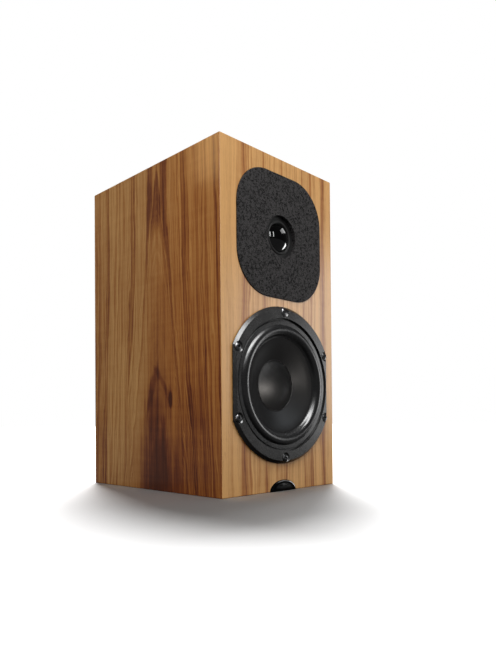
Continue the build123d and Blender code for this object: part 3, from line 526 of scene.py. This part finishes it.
class SPEAKER_OT_cabinet(bpy.types.Operator):
    """Veneer the six panels of the cabinet"""
    bl_idname = "speaker.cabinet"
    bl_label = "Veneer the cabinet"

    def execute(self, context):
        look = context.scene.speaker_veneer
        # Painted shade: the left side darkens towards the bottom.
        dress(veneer(
            "left_veneer", look, "Y", "Z", TOP_Z, REAR_Y - 0.1145, 0.139, mean=0.74, painted_shade_down=0.0009,
            streaks=(1.4, 2.1), bolder=(1.2, 0.55),
            broad=((-46.0, 13.0, 14.0, 0.1), (10.0, 8.0, 6.0, 0.22), (38.0, 2.0, 12.0, 0.28),
                   (66.0, 9.0, 9.0, 0.12), (86.0, 3.0, 7.0, 0.18), (104.0, 6.0, 12.0, 0.14)),
            fine=((13.0, 3.2, 3.6, 0.15), (37.4, 1.0, 2.8, 0.24), (46.5, 0.9, 1.6, 0.12),
                  (58.0, 1.0, 1.8, 0.14), (72.0, 1.0, 1.8, 0.16), (85.0, 0.8, 1.8, 0.34),
                  (96.0, 1.2, 2.4, 0.14)),
            stains=((0.0, 10.0, 14.0, 50.0, 0.25, 0.0), (7.0, 42.0, 9.0, 20.0, 0.16, 0.0),
                    (-14.0, 70.0, 6.0, 34.0, 0.16, -0.14), (0.0, 175.0, 16.0, 54.0, 0.1, 0.0),
                    (8.5, 222.0, 3.6, 20.0, 0.18, 0.3), (-8.0, 216.0, 3.0, 17.0, 0.14, -0.72),
                    (12.0, 238.0, 5.0, 18.0, 0.13, 0.0), (-20.5, 232.0, 3.0, 5.4, 0.5, 0.0),
                    (0.0, 236.0, 18.0, 24.0, 0.06, 0.0),
                    (4.0, 290.0, 18.0, 56.0, 0.19, 0.0), (-4.0, 322.0, 27.0, 52.0, 0.19, -0.1),
                    (-50.0, 290.0, 30.0, 60.0, 0.12, 0.0), (48.0, 150.0, 34.0, 100.0, -0.1, 0.0),
                    (60.0, 262.0, 30.0, 70.0, -0.22, 0.0)),
            redder=(34.0, -46.0)), "left_side_panel")
        plain = {
            "broad": ((-40.0, 10.0, 12.0, 0.24), (22.0, 2.0, 9.0, 0.2), (44.0, 2.0, 10.0, 0.16),
                      (80.0, 3.0, 9.0, 0.18), (112.0, 4.0, 12.0, 0.14)),
            "fine": ((-24.0, 1.4, 3.0, 0.2), (6.0, 1.4, 2.2, 0.18), (21.4, 0.8, 2.2, 0.2),
                     (43.5, 0.8, 2.0, 0.18), (62.0, 0.8, 1.6, 0.1), (79.0, 0.8, 1.8, 0.22),
                     (97.0, 0.9, 1.8, 0.12)),
        }
        # Painted shade: the right side darkens slightly towards the bottom.
        dress(veneer(
            "right_veneer", look, "Y", "Z", TOP_Z, REAR_Y - 0.088, 0.12, 1.7, mean=0.7, painted_shade_down=0.0004,
            streaks=(1.5, 1.5), redder=(40.0, -70.0), **plain), "right_side_panel")
        # The front's lines grow bolder towards the bottom: partly the wood's own stronger lines, partly
        # painted shade that darkens the bottom of the front.
        dress(veneer(
            "front_veneer", look, "X", "Z", TOP_Z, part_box("left_side_panel")[0].x, mean=0.84,
            streaks=(3.8, 1.5), bolder=(1.0, 1.6), coat=(1.6, 2.0),
            broad=((30.0, 9.0, 8.0, 0.1), (78.0, 12.0, 10.0, 0.1), (118.0, 10.0, 10.0, 0.1)),
            fine=((14.5, 4.0, 3.0, 0.2), (28.9, 5.0, 2.6, 0.26), (47.2, 5.0, 2.6, 0.24),
                  (61.0, 4.0, 2.6, 0.14), (77.5, 5.0, 2.6, 0.2), (96.0, 5.0, 2.6, 0.14),
                  (116.0, 5.0, 2.6, 0.16), (133.5, 4.0, 2.6, 0.1), (147.0, 4.0, 2.6, 0.12))),
            "front_baffle")
        # Painted shade: the rear darkens slightly towards the bottom.
        dress(veneer(
            "rear_veneer", look, "X", "Z", TOP_Z, 0.012, 0.09, 3.1, mean=0.72, painted_shade_down=0.0003,
            streaks=(1.5, 1.5), **plain), "rear_panel")
        dress(veneer(
            "level_veneer", look, "Y", "X", 0.3, REAR_Y - 0.12, 0.05, 4.6, mean=0.72,
            streaks=(1.5, 1.5), **plain), "top_panel", "bottom_panel")
        return {"FINISHED"}


class SPEAKER_OT_badge(bpy.types.Operator):
    """Model the domed badge at the foot of the baffle"""
    bl_idname = "speaker.badge"
    bl_label = "Model the badge"

    def execute(self, context):
        low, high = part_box("front_badge")
        half = (high.x - low.x) / 2
        rise = FRONT_Y - low.y
        gloss = moulded(
            "badge_gloss", (0.003, 0.003, 0.0033), rough=0.1, grain=2.0, depth=0.003, mottle=9.0,
            Coat_Weight=0.6, Coat_Roughness=0.04, Specular_IOR_Level=0.5)
        steps = 160
        bm = lathe(
            0.0, steps, (0.0, -rise), ((0.48, -rise * 0.93), (0.86, -rise * 0.72)),
            ((0.96, -rise * 0.5), (1.0, 0.0)))
        bmesh.ops.scale(bm, verts=bm.verts[:], vec=(half, 1.0, high.z))
        bmesh.ops.bisect_plane(
            bm, geom=bm.verts[:] + bm.edges[:] + bm.faces[:], plane_co=(0, 0, low.z), plane_no=(0, 0, -1),
            clear_outer=True)
        bmesh.ops.remove_doubles(bm, verts=bm.verts[:], dist=1e-7)
        bmesh.ops.holes_fill(bm, edges=[edge for edge in bm.edges if edge.is_boundary])
        badge = piece("badge", bm, gloss, 50.0)
        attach(badge, "cabinet")
        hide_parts("front_badge")
        return {"FINISHED"}


class SPEAKER_OT_woofer_frame(bpy.types.Operator):
    """Paint the woofer's frame, its gasket and its screws"""
    bl_idname = "speaker.woofer_frame"
    bl_label = "Paint the woofer frame"

    def execute(self, context):
        look = context.scene.speaker_woofer
        dress(moulded(
            "frame_paint", look.metal, rough=0.26, grain=0.5, depth=0.004, vary=0.2, mottle=22.0,
            Specular_IOR_Level=0.46), "woofer_basket")
        dress(moulded(
            "gasket_foam", (0.012, 0.012, 0.012), rough=0.9, grain=0.4, depth=0.06, Specular_IOR_Level=0.2),
            "woofer_gasket", "tweeter_gasket", "terminal_gasket")
        dress(plated("screw_black", (0.16, 0.16, 0.165), rough=0.25, pitch=0.2),
              "woofer_screws", "tweeter_screws", "terminal_cup_screws", "crossover_screws")
        return {"FINISHED"}


class SPEAKER_OT_woofer_surround(bpy.types.Operator):
    """Model the half-roll rubber surround, which bends as the cone moves"""
    bl_idname = "speaker.woofer_surround"
    bl_label = "Model the woofer surround"

    def execute(self, context):
        look = context.scene.speaker_woofer
        rubber = moulded(
            "surround_rubber", look.rubber, rough=0.27, grain=0.6, depth=0.001, vary=0.15, mottle=30.0,
            Specular_IOR_Level=0.55)
        skin = look.skin
        lip, foot, crest, inner = look.lip, look.foot, look.crest, look.inner
        edge = 2.6 * MM
        seat = 1.6 * MM
        top = 4.85 * MM
        fold = inner + 2.0 * MM
        bm = lathe(
            WOOFER_Z, look.steps, (lip, -seat),
            (lip, -edge + 0.3 * MM), ((lip - 0.1 * MM, -edge + 0.1 * MM), (lip - 0.35 * MM, -edge)),
            (foot, -edge), ((crest, -top), (fold, -1.9 * MM)),
            ((inner + 0.8 * MM, -0.6 * MM), (inner - 0.2 * MM, 0.0)),
            (inner - 0.2 * MM, 0.8 * MM), (inner - 2.1 * MM, 0.8 * MM),
            (inner - 2.1 * MM, 1.8 * MM), (inner + skin, 1.8 * MM), (inner + skin, 0.2 * MM),
            ((crest, skin - top), (foot - skin, -seat)), (lip, -seat))
        roll = piece("woofer_surround_roll", bm, rubber, 40.0)
        flex(roll, "cabinet", "woofer_cone_assembly", WOOFER_Z, foot, inner)
        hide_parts("woofer_surround")
        return {"FINISHED"}


class SPEAKER_OT_woofer_cone(bpy.types.Operator):
    """Model the cone, and the dust cap glued on it"""
    bl_idname = "speaker.woofer_cone"
    bl_label = "Model the woofer cone"

    def execute(self, context):
        look = context.scene.speaker_woofer
        paper, glossier = (
            moulded(name, look.paper, rough=0.4, grain=0.5, depth=0.004, vary=0.2, mottle=26.0,
                    Specular_IOR_Level=shine)
            for name, shine in (("cone_black", 0.145), ("cap_black", 0.42)))
        rim = look.cone / MM
        bm = lathe(WOOFER_Z, look.steps, *mm(
            (rim, 0.8), (rim, 0.0), (rim - 1.0, 0.08), ((34.0, 4.4), (16.5, 12.6)), (16.5, 13.4),
            ((34.0, 5.2), (rim - 1.0, 0.95)), (rim, 0.8)))
        cone = piece("woofer_cone_skin", bm, paper, 30.0)
        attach(cone, "woofer_cone_assembly")
        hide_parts("woofer_cone")
        cap, rise, top = look.cap / MM, 7.0, 1.8
        through = halfway(cap, rise, top)
        bm = lathe(WOOFER_Z, look.steps, *mm(
            (0.0, top), (through, (cap, top + rise)), ((cap + 0.5, 7.9), (cap + 1.0, 8.6)), (cap + 0.9, 9.25),
            (cap - 0.9, 9.25), (cap - 0.9, 8.9), ((through[0] - 0.4, through[1] + 0.7), (0.0, 2.5))))
        dust_cap = piece("woofer_cap", bm, glossier, 30.0)
        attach(dust_cap, "woofer_cone_assembly")
        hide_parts("woofer_dust_cap")
        return {"FINISHED"}


class SPEAKER_OT_woofer_motor(bpy.types.Operator):
    """Model the corrugated spider and finish the coil and the magnet parts of both drivers"""
    bl_idname = "speaker.woofer_motor"
    bl_label = "Finish the motors"

    def execute(self, context):
        look = context.scene.speaker_woofer
        inside = context.scene.speaker_inside
        cloth = Finish("spider_cloth", {"Specular IOR Level": 0.2})
        warp = cloth.cells(cloth.place, 1400.0)
        slow = cloth.noise(cloth.place, 120.0, 3.0)
        weave = cloth.sum("MULTIPLY_ADD", warp, 0.6, cloth.sum("MULTIPLY", slow, 0.5))
        cloth.done(
            Base_Color=cloth.ramp(weave, (0.2, (0.50, 0.33, 0.12)), (0.8, (0.72, 0.52, 0.22))),
            Roughness=cloth.spread(weave, 0.2, 0.8, 0.8, 0.68), Normal=cloth.bump(warp, 0.1 * MM))
        first, rim, outer = 16.6, 36.5, 38.0
        level, thick, wave, count = 22.4, 0.6, 0.9, 10
        back = level + thick
        pitch = (rim - first) / count
        waves = [(first + index * pitch, -wave if index % 2 else wave) for index in range(count)]
        moves = [(first, level)]
        moves += [((begin + pitch / 2, level + height), (begin + pitch, level)) for begin, height in waves]
        moves += [(outer, level), (outer, back), (rim, back)]
        moves += [((begin + pitch / 2, back + height), (begin, back)) for begin, height in reversed(waves)]
        moves.append((first, level))
        spider = piece(
            "woofer_spider_waves", lathe(WOOFER_Z, 96, *mm(*moves)), cloth.material)
        flex(spider, "cabinet", "woofer_cone_assembly", WOOFER_Z, rim * MM, first * MM)
        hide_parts("woofer_spider")
        dress(plated("coil_former", (0.72, 0.72, 0.73), rough=0.3, pitch=0.5), "woofer_coil_former")
        dress(wound("coil_copper", inside.copper, "Y", 0.25), "woofer_voice_coil", "tweeter_voice_coil")
        dress(plated("motor_steel", (0.56, 0.56, 0.58), rough=0.34, pitch=0.6),
              "woofer_top_plate", "woofer_yoke", "tweeter_top_plate", "tweeter_yoke")
        dress(moulded(
            "ferrite", (0.045, 0.044, 0.046), rough=0.55, grain=0.8, depth=0.04, vary=0.3, mottle=6.0),
            "woofer_magnet", "tweeter_magnet")
        dress(moulded("driver_block", (0.022, 0.022, 0.022), rough=0.5), "woofer_terminals")
        return {"FINISHED"}


def wound(name, colour, axis, pitch):
    """Enamelled wire in even turns along one axis. The pitch is millimetres."""
    wire = Finish(name, {"Metallic": 0.85})
    turns = wire.sum("SINE", wire.sum("MULTIPLY", wire.axes()[axis], 2 * math.pi / (pitch * MM)))
    slow = wire.noise(wire.place, 300.0, 3.0)
    both = wire.sum("MULTIPLY_ADD", turns, 0.25, slow)
    return wire.done(
        Base_Color=wire.ramp(both, (0.2, shade(colour, 0.5)), (0.8, shade(colour, 1.15))),
        Roughness=wire.spread(both, 0.2, 0.8, 0.42, 0.25), Normal=wire.bump(turns, pitch * 0.3 * MM))


class SPEAKER_OT_tweeter(bpy.types.Operator):
    """Model the tweeter's dome and surround, and finish its plate and housing"""
    bl_idname = "speaker.tweeter"
    bl_label = "Model the tweeter"

    def execute(self, context):
        look = context.scene.speaker_tweeter
        plate = Finish("plate_texture", {"Specular IOR Level": 0.12})
        bumps = plate.cells(plate.place, 1 / look.grain)
        grit = plate.noise(plate.place, 2.2 / look.grain, 3.0, 0.65)
        slow = plate.noise(plate.place, 0.35 / look.grain, 3.0, 0.6)
        skin = plate.sum("MULTIPLY_ADD", bumps, -0.7, plate.sum("MULTIPLY_ADD", grit, 0.7, 0.35))
        mottle = plate.sum("MULTIPLY_ADD", slow, 0.8, plate.sum("MULTIPLY", skin, 0.6))
        plate.done(
            Base_Color=plate.ramp(mottle, (0.48, shade(look.plate, 0.02)), (0.64, shade(look.plate, 8.4))),
            Roughness=plate.spread(mottle, 0.3, 0.8, 0.72, 0.48), Normal=plate.bump(skin, 0.4 * MM))
        dress(plate.material, "tweeter_faceplate")
        dress(moulded(
            "chassis_plastic", (0.016, 0.0155, 0.0155), rough=0.55, grain=0.5, Specular_IOR_Level=0.3),
            "tweeter_chassis", "tweeter_rear_cup")
        coated = moulded(
            "dome_black", look.gloss, rough=0.07, grain=1.6, depth=0.002, mottle=8.0,
            Coat_Weight=0.3, Coat_Roughness=0.05, Specular_IOR_Level=0.5)
        radius, rise, base = look.dome / MM, look.rise / MM, 2.8
        top = base - rise
        through = halfway(radius, rise, top)
        bm = lathe(TWEETER_Z, look.steps, *mm(
            (0.0, top), (through, (radius, base)), (radius - 0.4, base),
            ((through[0] - 0.25, through[1] + 0.4), (0.0, top + 0.4))))
        dome = piece("tweeter_dome_skin", bm, coated)
        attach(dome, "tweeter_dome_assembly")
        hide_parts("tweeter_dome")
        face, back, wave = 3.0, 3.5, 1.1
        tuck, inner, outer, lip = 13.35, 13.95, 16.4, 18.4
        mid = (inner + outer) / 2
        bm = lathe(TWEETER_Z, look.steps, *mm(
            (lip, back), (lip, face), (outer, face), ((mid, face - wave), (inner, face)),
            (tuck, face), (tuck, back), (inner, back), ((mid, back - wave), (outer, back)), (lip, back)))
        matt = moulded(
            "tweeter_surround", (0.009, 0.0088, 0.0086), rough=0.55, grain=0.4, depth=0.006, mottle=10.0,
            Specular_IOR_Level=0.35)
        roll = piece("tweeter_surround_roll", bm, matt, 40.0)
        flex(roll, "cabinet", "tweeter_dome_assembly", TWEETER_Z, outer * MM, inner * MM)
        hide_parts("tweeter_surround")
        return {"FINISHED"}


class SPEAKER_OT_rear(bpy.types.Operator):
    """Finish the reflex port, the terminal cup and the binding posts"""
    bl_idname = "speaker.rear"
    bl_label = "Finish the port and terminals"

    def execute(self, context):
        look = context.scene.speaker_rear
        dress(moulded("port_plastic", look.plastic, rough=0.42, grain=0.5), "port_tube")
        dress(moulded("cup_plastic", look.plastic, rough=0.5, grain=0.7, depth=0.04, vary=0.3),
              "terminal_cup")
        dress(plated("gold_plate", look.plating, rough=0.22, pitch=0.3),
              "post_stud_black", "post_stud_red", "post_collar_black", "post_collar_red", "post_nuts",
              "solder_tags", "tweeter_tags")
        for colour, value in (("red", look.red), ("black", look.black)):
            dress(moulded(
                f"post_{colour}_plastic", tuple(value), rough=0.26, grain=1.2, depth=0.008, mottle=7.0,
                Coat_Weight=0.3, Coat_Roughness=0.12), f"post_base_{colour}", f"post_knob_{colour}")
        return {"FINISHED"}


class SPEAKER_OT_damping(bpy.types.Operator):
    """Model the three foam pads with rows of peaks, and finish the brace"""
    bl_idname = "speaker.damping"
    bl_label = "Model the damping foam"

    def execute(self, context):
        look = context.scene.speaker_inside
        foam = Finish("foam", {"Specular IOR Level": 0.15})
        cells = foam.cells(foam.place, 900.0)
        slow = foam.noise(foam.place, 90.0, 3.0)
        both = foam.sum("MULTIPLY_ADD", cells, 0.7, foam.sum("MULTIPLY", slow, 0.5))
        foam.done(
            Base_Color=foam.ramp(both, (0.2, shade(look.foam, 0.5)), (0.8, shade(look.foam, 1.5))),
            Roughness=foam.spread(both, 0.2, 0.8, 0.98, 0.88), Normal=foam.bump(cells, 0.3 * MM))
        for node, face in (
                ("damping_foam_left", Vector((1, 0, 0))), ("damping_foam_right", Vector((-1, 0, 0))),
                ("damping_foam_rear", Vector((0, -1, 0)))):
            bm = bmesh.new()
            for low, high in pads(node):
                self.pad(bm, low, high, face, look)
            made = piece(node + "_pads", bm, foam.material, 60.0)
            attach(made, "cabinet")
            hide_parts(node)
        board = moulded(
            "fibreboard", (0.36, 0.25, 0.15), rough=0.8, grain=0.9, depth=0.05, vary=0.3, mottle=5.0,
            Specular_IOR_Level=0.2)
        dress(board, "internal_brace")
        return {"FINISHED"}

    def pad(self, bm, low, high, face, look):
        """One pad: a block cut into a grid, whose room side rises and falls in round peaks."""
        made = bmesh.ops.create_cube(bm, size=1.0)["verts"]
        size = high - low
        bmesh.ops.transform(bm, verts=made, matrix=Matrix.Diagonal((*size, 1.0)))
        bmesh.ops.translate(bm, verts=made, vec=(low + high) / 2)
        depth = max(range(3), key=lambda axis: abs(face[axis]))
        spread = [axis for axis in range(3) if axis != depth]
        for axis in spread:
            steps = max(2, round(size[axis] / (look.pitch / 4)))
            for index in range(1, steps):
                near = {vertex for vertex in made if vertex.is_valid}
                edges = {edge for vertex in near for edge in vertex.link_edges}
                faces = {item for vertex in near for item in vertex.link_faces}
                place = low.copy()
                place[axis] += size[axis] * index / steps
                normal = Vector((0, 0, 0))
                normal[axis] = 1
                cut = bmesh.ops.bisect_plane(
                    bm, geom=list(near | edges | faces), plane_co=place, plane_no=normal)
                made = list(near) + [
                    item for item in cut["geom_cut"] if isinstance(item, bmesh.types.BMVert)]
        room = (high if sum(face) > 0 else low)[depth]
        for vertex in made:
            if abs(vertex.co[depth] - room) < MICRON:
                waves = [
                    math.cos(2 * math.pi * (vertex.co[axis] - low[axis]) / look.pitch) for axis in spread]
                vertex.co[depth] -= sum(face) * look.peak * (0.5 - 0.25 * sum(waves))


def pads(node):
    """The separate blocks of a foam node, from gaps in its height."""
    low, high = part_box(node)
    levels = sorted({round(vertex.co.z, 5) for vertex in frame["nodes"][node].data.vertices})
    pairs = zip(levels[::2], levels[1::2])
    return [(Vector((low.x, low.y, start)), Vector((high.x, high.y, end))) for start, end in pairs]


class SPEAKER_OT_crossover(bpy.types.Operator):
    """Finish the crossover board, its parts and the leads"""
    bl_idname = "speaker.crossover"
    bl_label = "Finish the crossover"

    def execute(self, context):
        look = context.scene.speaker_inside
        dress(moulded("board_green", look.board, rough=0.35, grain=1.5, depth=0.01, mottle=10.0),
              "crossover_board")
        dress(moulded("standoff_nylon", (0.75, 0.74, 0.70), rough=0.5), "crossover_standoffs")
        dress(wound("inductor_copper", look.copper, "Z", 1.0), "woofer_inductor", "tweeter_inductor")
        dress(moulded("capacitor_film", (0.42, 0.32, 0.06), rough=0.3, grain=2.0, vary=0.15),
              "crossover_capacitors")
        dress(moulded("resistor_cement", (0.68, 0.66, 0.60), rough=0.85, grain=0.5, depth=0.05),
              "crossover_resistor")
        dress(moulded("lead_sleeve", (0.02, 0.02, 0.021), rough=0.45),
              "input_leads", "woofer_leads", "tweeter_leads")
        return {"FINISHED"}


class SPEAKER_OT_stage(bpy.types.Operator):
    """Lay the floor, hang the lights and set the camera"""
    bl_idname = "speaker.stage"
    bl_label = "Set the stage"

    def execute(self, context):
        scene = context.scene
        look = scene.speaker_stage
        scene.view_settings.view_transform = "Standard"
        floor = self.floor()
        self.world(scene, look.fill)
        self.hang_lights(look)
        self.share_lights(floor)
        self.camera(scene)
        return {"FINISHED"}

    def hang_lights(self, look):
        """Soft boxes in the places that the pieces mirror, and two suns for the shadow on the floor."""
        front, woofer, tweeter = (Vector((0, FRONT_Y, z)) for z in (0.17, WOOFER_Z, TWEETER_Z))
        side = Vector((0, 0.62, 0.873))
        narrow_strip = look.front * 0.6
        faint_sun = look.shadow * 0.3
        self.soft_box("front_light_left", (-0.86, -1.13, 0.8), front, 0.055, 0.7, narrow_strip)
        self.soft_box("front_light_right", (-0.51, -1.35, 0.78), front, 0.09, 0.75, look.front)
        self.soft_box("side_light", (-0.8, 0.62, 0.873), side, 0.3, 0.3, look.side, look.amber)
        self.soft_box("left_light", (-1.4, -0.6, 0.8), front, 0.8, 0.8, look.left)
        self.soft_box("overhead_light", (-0.03, -0.56, 1.09), front, 0.75, 0.75, look.overhead)
        self.soft_box("frame_light", (-0.2, -0.7, 1.03), front, 0.8, 0.5, look.crown)
        self.soft_box("right_wall", (1.36, -1.0, 0.36), front, 0.8, 0.6, look.wall)
        self.soft_box("frame_wall", (1.5, -0.8, 0.16), front, 0.8, 0.6, look.frame)
        self.soft_box("rear_light", (0.6, 1.3, 0.8), front, 1.0, 1.0, look.rear)
        self.soft_box("table_light", (-0.05, -0.5, 0.05), woofer, 0.32, 0.09, look.table, look.ivory)
        self.soft_box("roll_light", (-0.64, -0.51, 1.04), woofer, 0.8, 0.8, look.roll)
        self.soft_box("cone_light", (0.6, -0.8, 0.66), woofer, 0.7, 0.4, look.cone, look.blue)
        self.soft_box("right_light", (1.06, -0.66, 1.16), tweeter, 1.1, 0.4, look.right)
        self.soft_box("right_card", (0.55, -0.13, 0.125), tweeter, 0.3, 0.24, look.card)
        self.shadow_light("shadow_light_high", 38.6, 51.6, 27.0, look.shadow)
        self.shadow_light("shadow_light_low", 52.8, 46.2, 38.0, faint_sun)

    def share_lights(self, floor):
        """Say which pieces each light reaches, so that it is mirrored only where it belongs."""
        nodes, made = frame["nodes"], bpy.data.objects
        dome, cap, badge = made["tweeter_dome_skin"], made["woofer_cap"], made["badge"]
        roll, cone = made["woofer_surround_roll"], made["woofer_cone_skin"]
        ring = [nodes["woofer_basket"], nodes["woofer_screws"], roll]
        only, all_but = "INCLUDE", "EXCLUDE"
        self.share_light("floor_only", only, [floor], "shadow_light_high", "shadow_light_low")
        self.share_light("all_but_floor", all_but, [floor], "rear_light")
        self.share_light(
            "all_but_roll", all_but, [floor, badge, roll, nodes["top_panel"]],
            "front_light_left", "front_light_right", "side_light", "left_light")
        self.share_light("all_but_gloss", all_but, [floor, dome, badge, *ring], "overhead_light")
        self.share_light("woofer_ring", only, ring, "frame_light", "frame_wall")
        self.share_light("all_but_woofer", all_but, [floor, dome, cap, cone, *ring], "right_wall")
        self.share_light("roll_only", only, [roll], "roll_light")
        self.share_light("cone_only", only, [cone], "cone_light")
        self.share_light("cone_and_cap", only, [cone, cap], "table_light")
        self.share_light("dome_and_badge", only, [dome, badge], "right_light", "right_card")

    def floor(self):
        bm = bmesh.new()
        bmesh.ops.create_grid(bm, x_segments=8, y_segments=8, size=6.0)
        mesh = bpy.data.meshes.new("floor")
        bm.to_mesh(mesh)
        bm.free()
        floor = put("floor", mesh)
        paper = Finish("floor_paper", {"Roughness": 0.9, "Specular IOR Level": 0.0})
        rays = paper.add("ShaderNodeLightPath").outputs
        # The floor is white to the camera and takes the suns' shadow. In reflections its colour is painted:
        # white towards the right, as a painted reflection of a lit side, and nearly black elsewhere, as
        # painted shade. To bounce light it is nearly black.
        right = lobe(paper, paper.place, (0.95, 0.31, 0.0), 0.6, 0.95, 0.0, 1.0)
        painted_reflection_mask = paper.sum("MULTIPLY", rays["Is Glossy Ray"], right)
        shown = paper.sum("MAXIMUM", rays["Is Camera Ray"], painted_reflection_mask)
        shown = paper.sum("MAXIMUM", shown, rays["Is Transmission Ray"])
        paper.done(Base_Color=paper.ramp(shown, (0.0, 0.06), (1.0, 0.95)))
        mesh.materials.append(paper.material)
        return floor

    def shadow_light(self, name, turn, height, angle, strength):
        """A soft sun from behind, which casts a shadow. Turn and height are degrees from +Y and the floor."""
        data = bpy.data.lights.new(name, "SUN")
        data.energy = strength
        data.angle = math.radians(angle)
        level = math.cos(math.radians(height))
        shine = Vector((
            -level * math.sin(math.radians(turn)), -level * math.cos(math.radians(turn)),
            -math.sin(math.radians(height))))
        put(name, data).rotation_euler = shine.to_track_quat("-Z", "Y").to_euler()

    def share_light(self, name, state, pieces, *lamps):
        """Let the named lamps light only these pieces, or all but these."""
        group = bpy.data.collections.new(name)
        for made in pieces:
            group.objects.link(made)
        for member in group.collection_objects:
            member.light_linking.link_state = state
        for lamp in lamps:
            bpy.data.objects[lamp].light_linking.receiver_collection = group

    def world(self, scene, fill):
        world = bpy.data.worlds.new("studio")
        scene.world = world
        world.use_nodes = True
        sky = Wiring(world.node_tree)
        direction = sky.add("ShaderNodeTexCoord").outputs["Generated"]
        white = lobe(sky, direction, (0.5, 0.84, 0.2), 0.5, 1.0, 0.03, 0.9)
        rays = sky.add("ShaderNodeLightPath").outputs
        reflected = sky.sum("MAXIMUM", rays["Is Glossy Ray"], rays["Is Transmission Ray"])
        strength = sky.sum("MULTIPLY_ADD", reflected, sky.sum("SUBTRACT", white, fill), fill)
        strength = sky.sum("MAXIMUM", strength, rays["Is Camera Ray"])
        sky.feed(world.node_tree.nodes["Background"], {"Color": (1, 1, 1, 1), "Strength": strength})

    def soft_box(self, name, place, target, width, height, watts, tint=(1, 1, 1)):
        data = bpy.data.lights.new(name, "AREA")
        data.shape = "RECTANGLE"
        data.size = width
        data.size_y = height
        data.energy = watts
        data.color = tint
        lamp = put(name, data)
        lamp.location = place
        lamp.visible_camera = False
        lamp.rotation_euler = (target - Vector(place)).to_track_quat("-Z", "Y").to_euler()

    def camera(self, scene):
        yaw, pitch, roll = math.radians(45.42), math.radians(0.894), math.radians(-0.468)
        film, rows, focal_rows, horizon_row = 36.0, 664, 585.96, 410.4
        ahead = Vector((math.sin(yaw) * math.cos(pitch), math.cos(yaw) * math.cos(pitch), math.sin(pitch)))
        right = ahead.cross(Vector((0, 0, 1))).normalized()
        above = right.cross(ahead)
        across = math.cos(roll) * right + math.sin(roll) * above
        upward = math.cos(roll) * above - math.sin(roll) * right
        turn = Matrix((across, upward, -ahead)).transposed().to_4x4()
        data = bpy.data.cameras.new("camera")
        data.sensor_fit = "AUTO"
        data.sensor_width = film
        data.lens = film * focal_rows / rows
        data.shift_y = (horizon_row - rows / 2) / rows
        view = put("camera", data)
        view.matrix_world = Matrix.Translation((-0.4243, -0.4733, 0.0685)) @ turn
        scene.camera = view


STEPS = (
    SPEAKER_OT_cabinet, SPEAKER_OT_badge, SPEAKER_OT_woofer_frame, SPEAKER_OT_woofer_surround,
    SPEAKER_OT_woofer_cone, SPEAKER_OT_woofer_motor, SPEAKER_OT_tweeter, SPEAKER_OT_rear,
    SPEAKER_OT_damping, SPEAKER_OT_crossover, SPEAKER_OT_stage,
)
SETTINGS = {
    "speaker_veneer": VeneerSettings, "speaker_woofer": WooferSettings, "speaker_tweeter": TweeterSettings,
    "speaker_rear": RearSettings, "speaker_inside": InsideSettings, "speaker_stage": StageSettings,
}


class SPEAKER_PT_sidebar(bpy.types.Panel):
    """The speaker's settings and steps"""
    bl_idname = "SPEAKER_PT_sidebar"
    bl_label = "Bookshelf loudspeaker"
    bl_space_type = "VIEW_3D"
    bl_region_type = "UI"
    bl_category = "Speaker"

    def draw(self, context):
        for name in SETTINGS:
            box = self.layout.box()
            box.label(text=name.replace("speaker_", "").capitalize())
            group = getattr(context.scene, name)
            for key in group.bl_rna.properties.keys():
                if key not in {"rna_type", "name"}:
                    box.prop(group, key)
        for step in STEPS:
            self.layout.operator(step.bl_idname)


def register():
    for group in (*SETTINGS.values(), *STEPS, SPEAKER_PT_sidebar):
        bpy.utils.register_class(group)
    for name, group in SETTINGS.items():
        setattr(bpy.types.Scene, name, PointerProperty(type=group))


def unregister():
    for name in SETTINGS:
        delattr(bpy.types.Scene, name)
    for group in (SPEAKER_PT_sidebar, *reversed(STEPS), *SETTINGS.values()):
        bpy.utils.unregister_class(group)


def main():
    register()
    for step in STEPS:
        family, name = step.bl_idname.split(".")
        getattr(getattr(bpy.ops, family), name)()


if __name__ == "__main__":
    main()
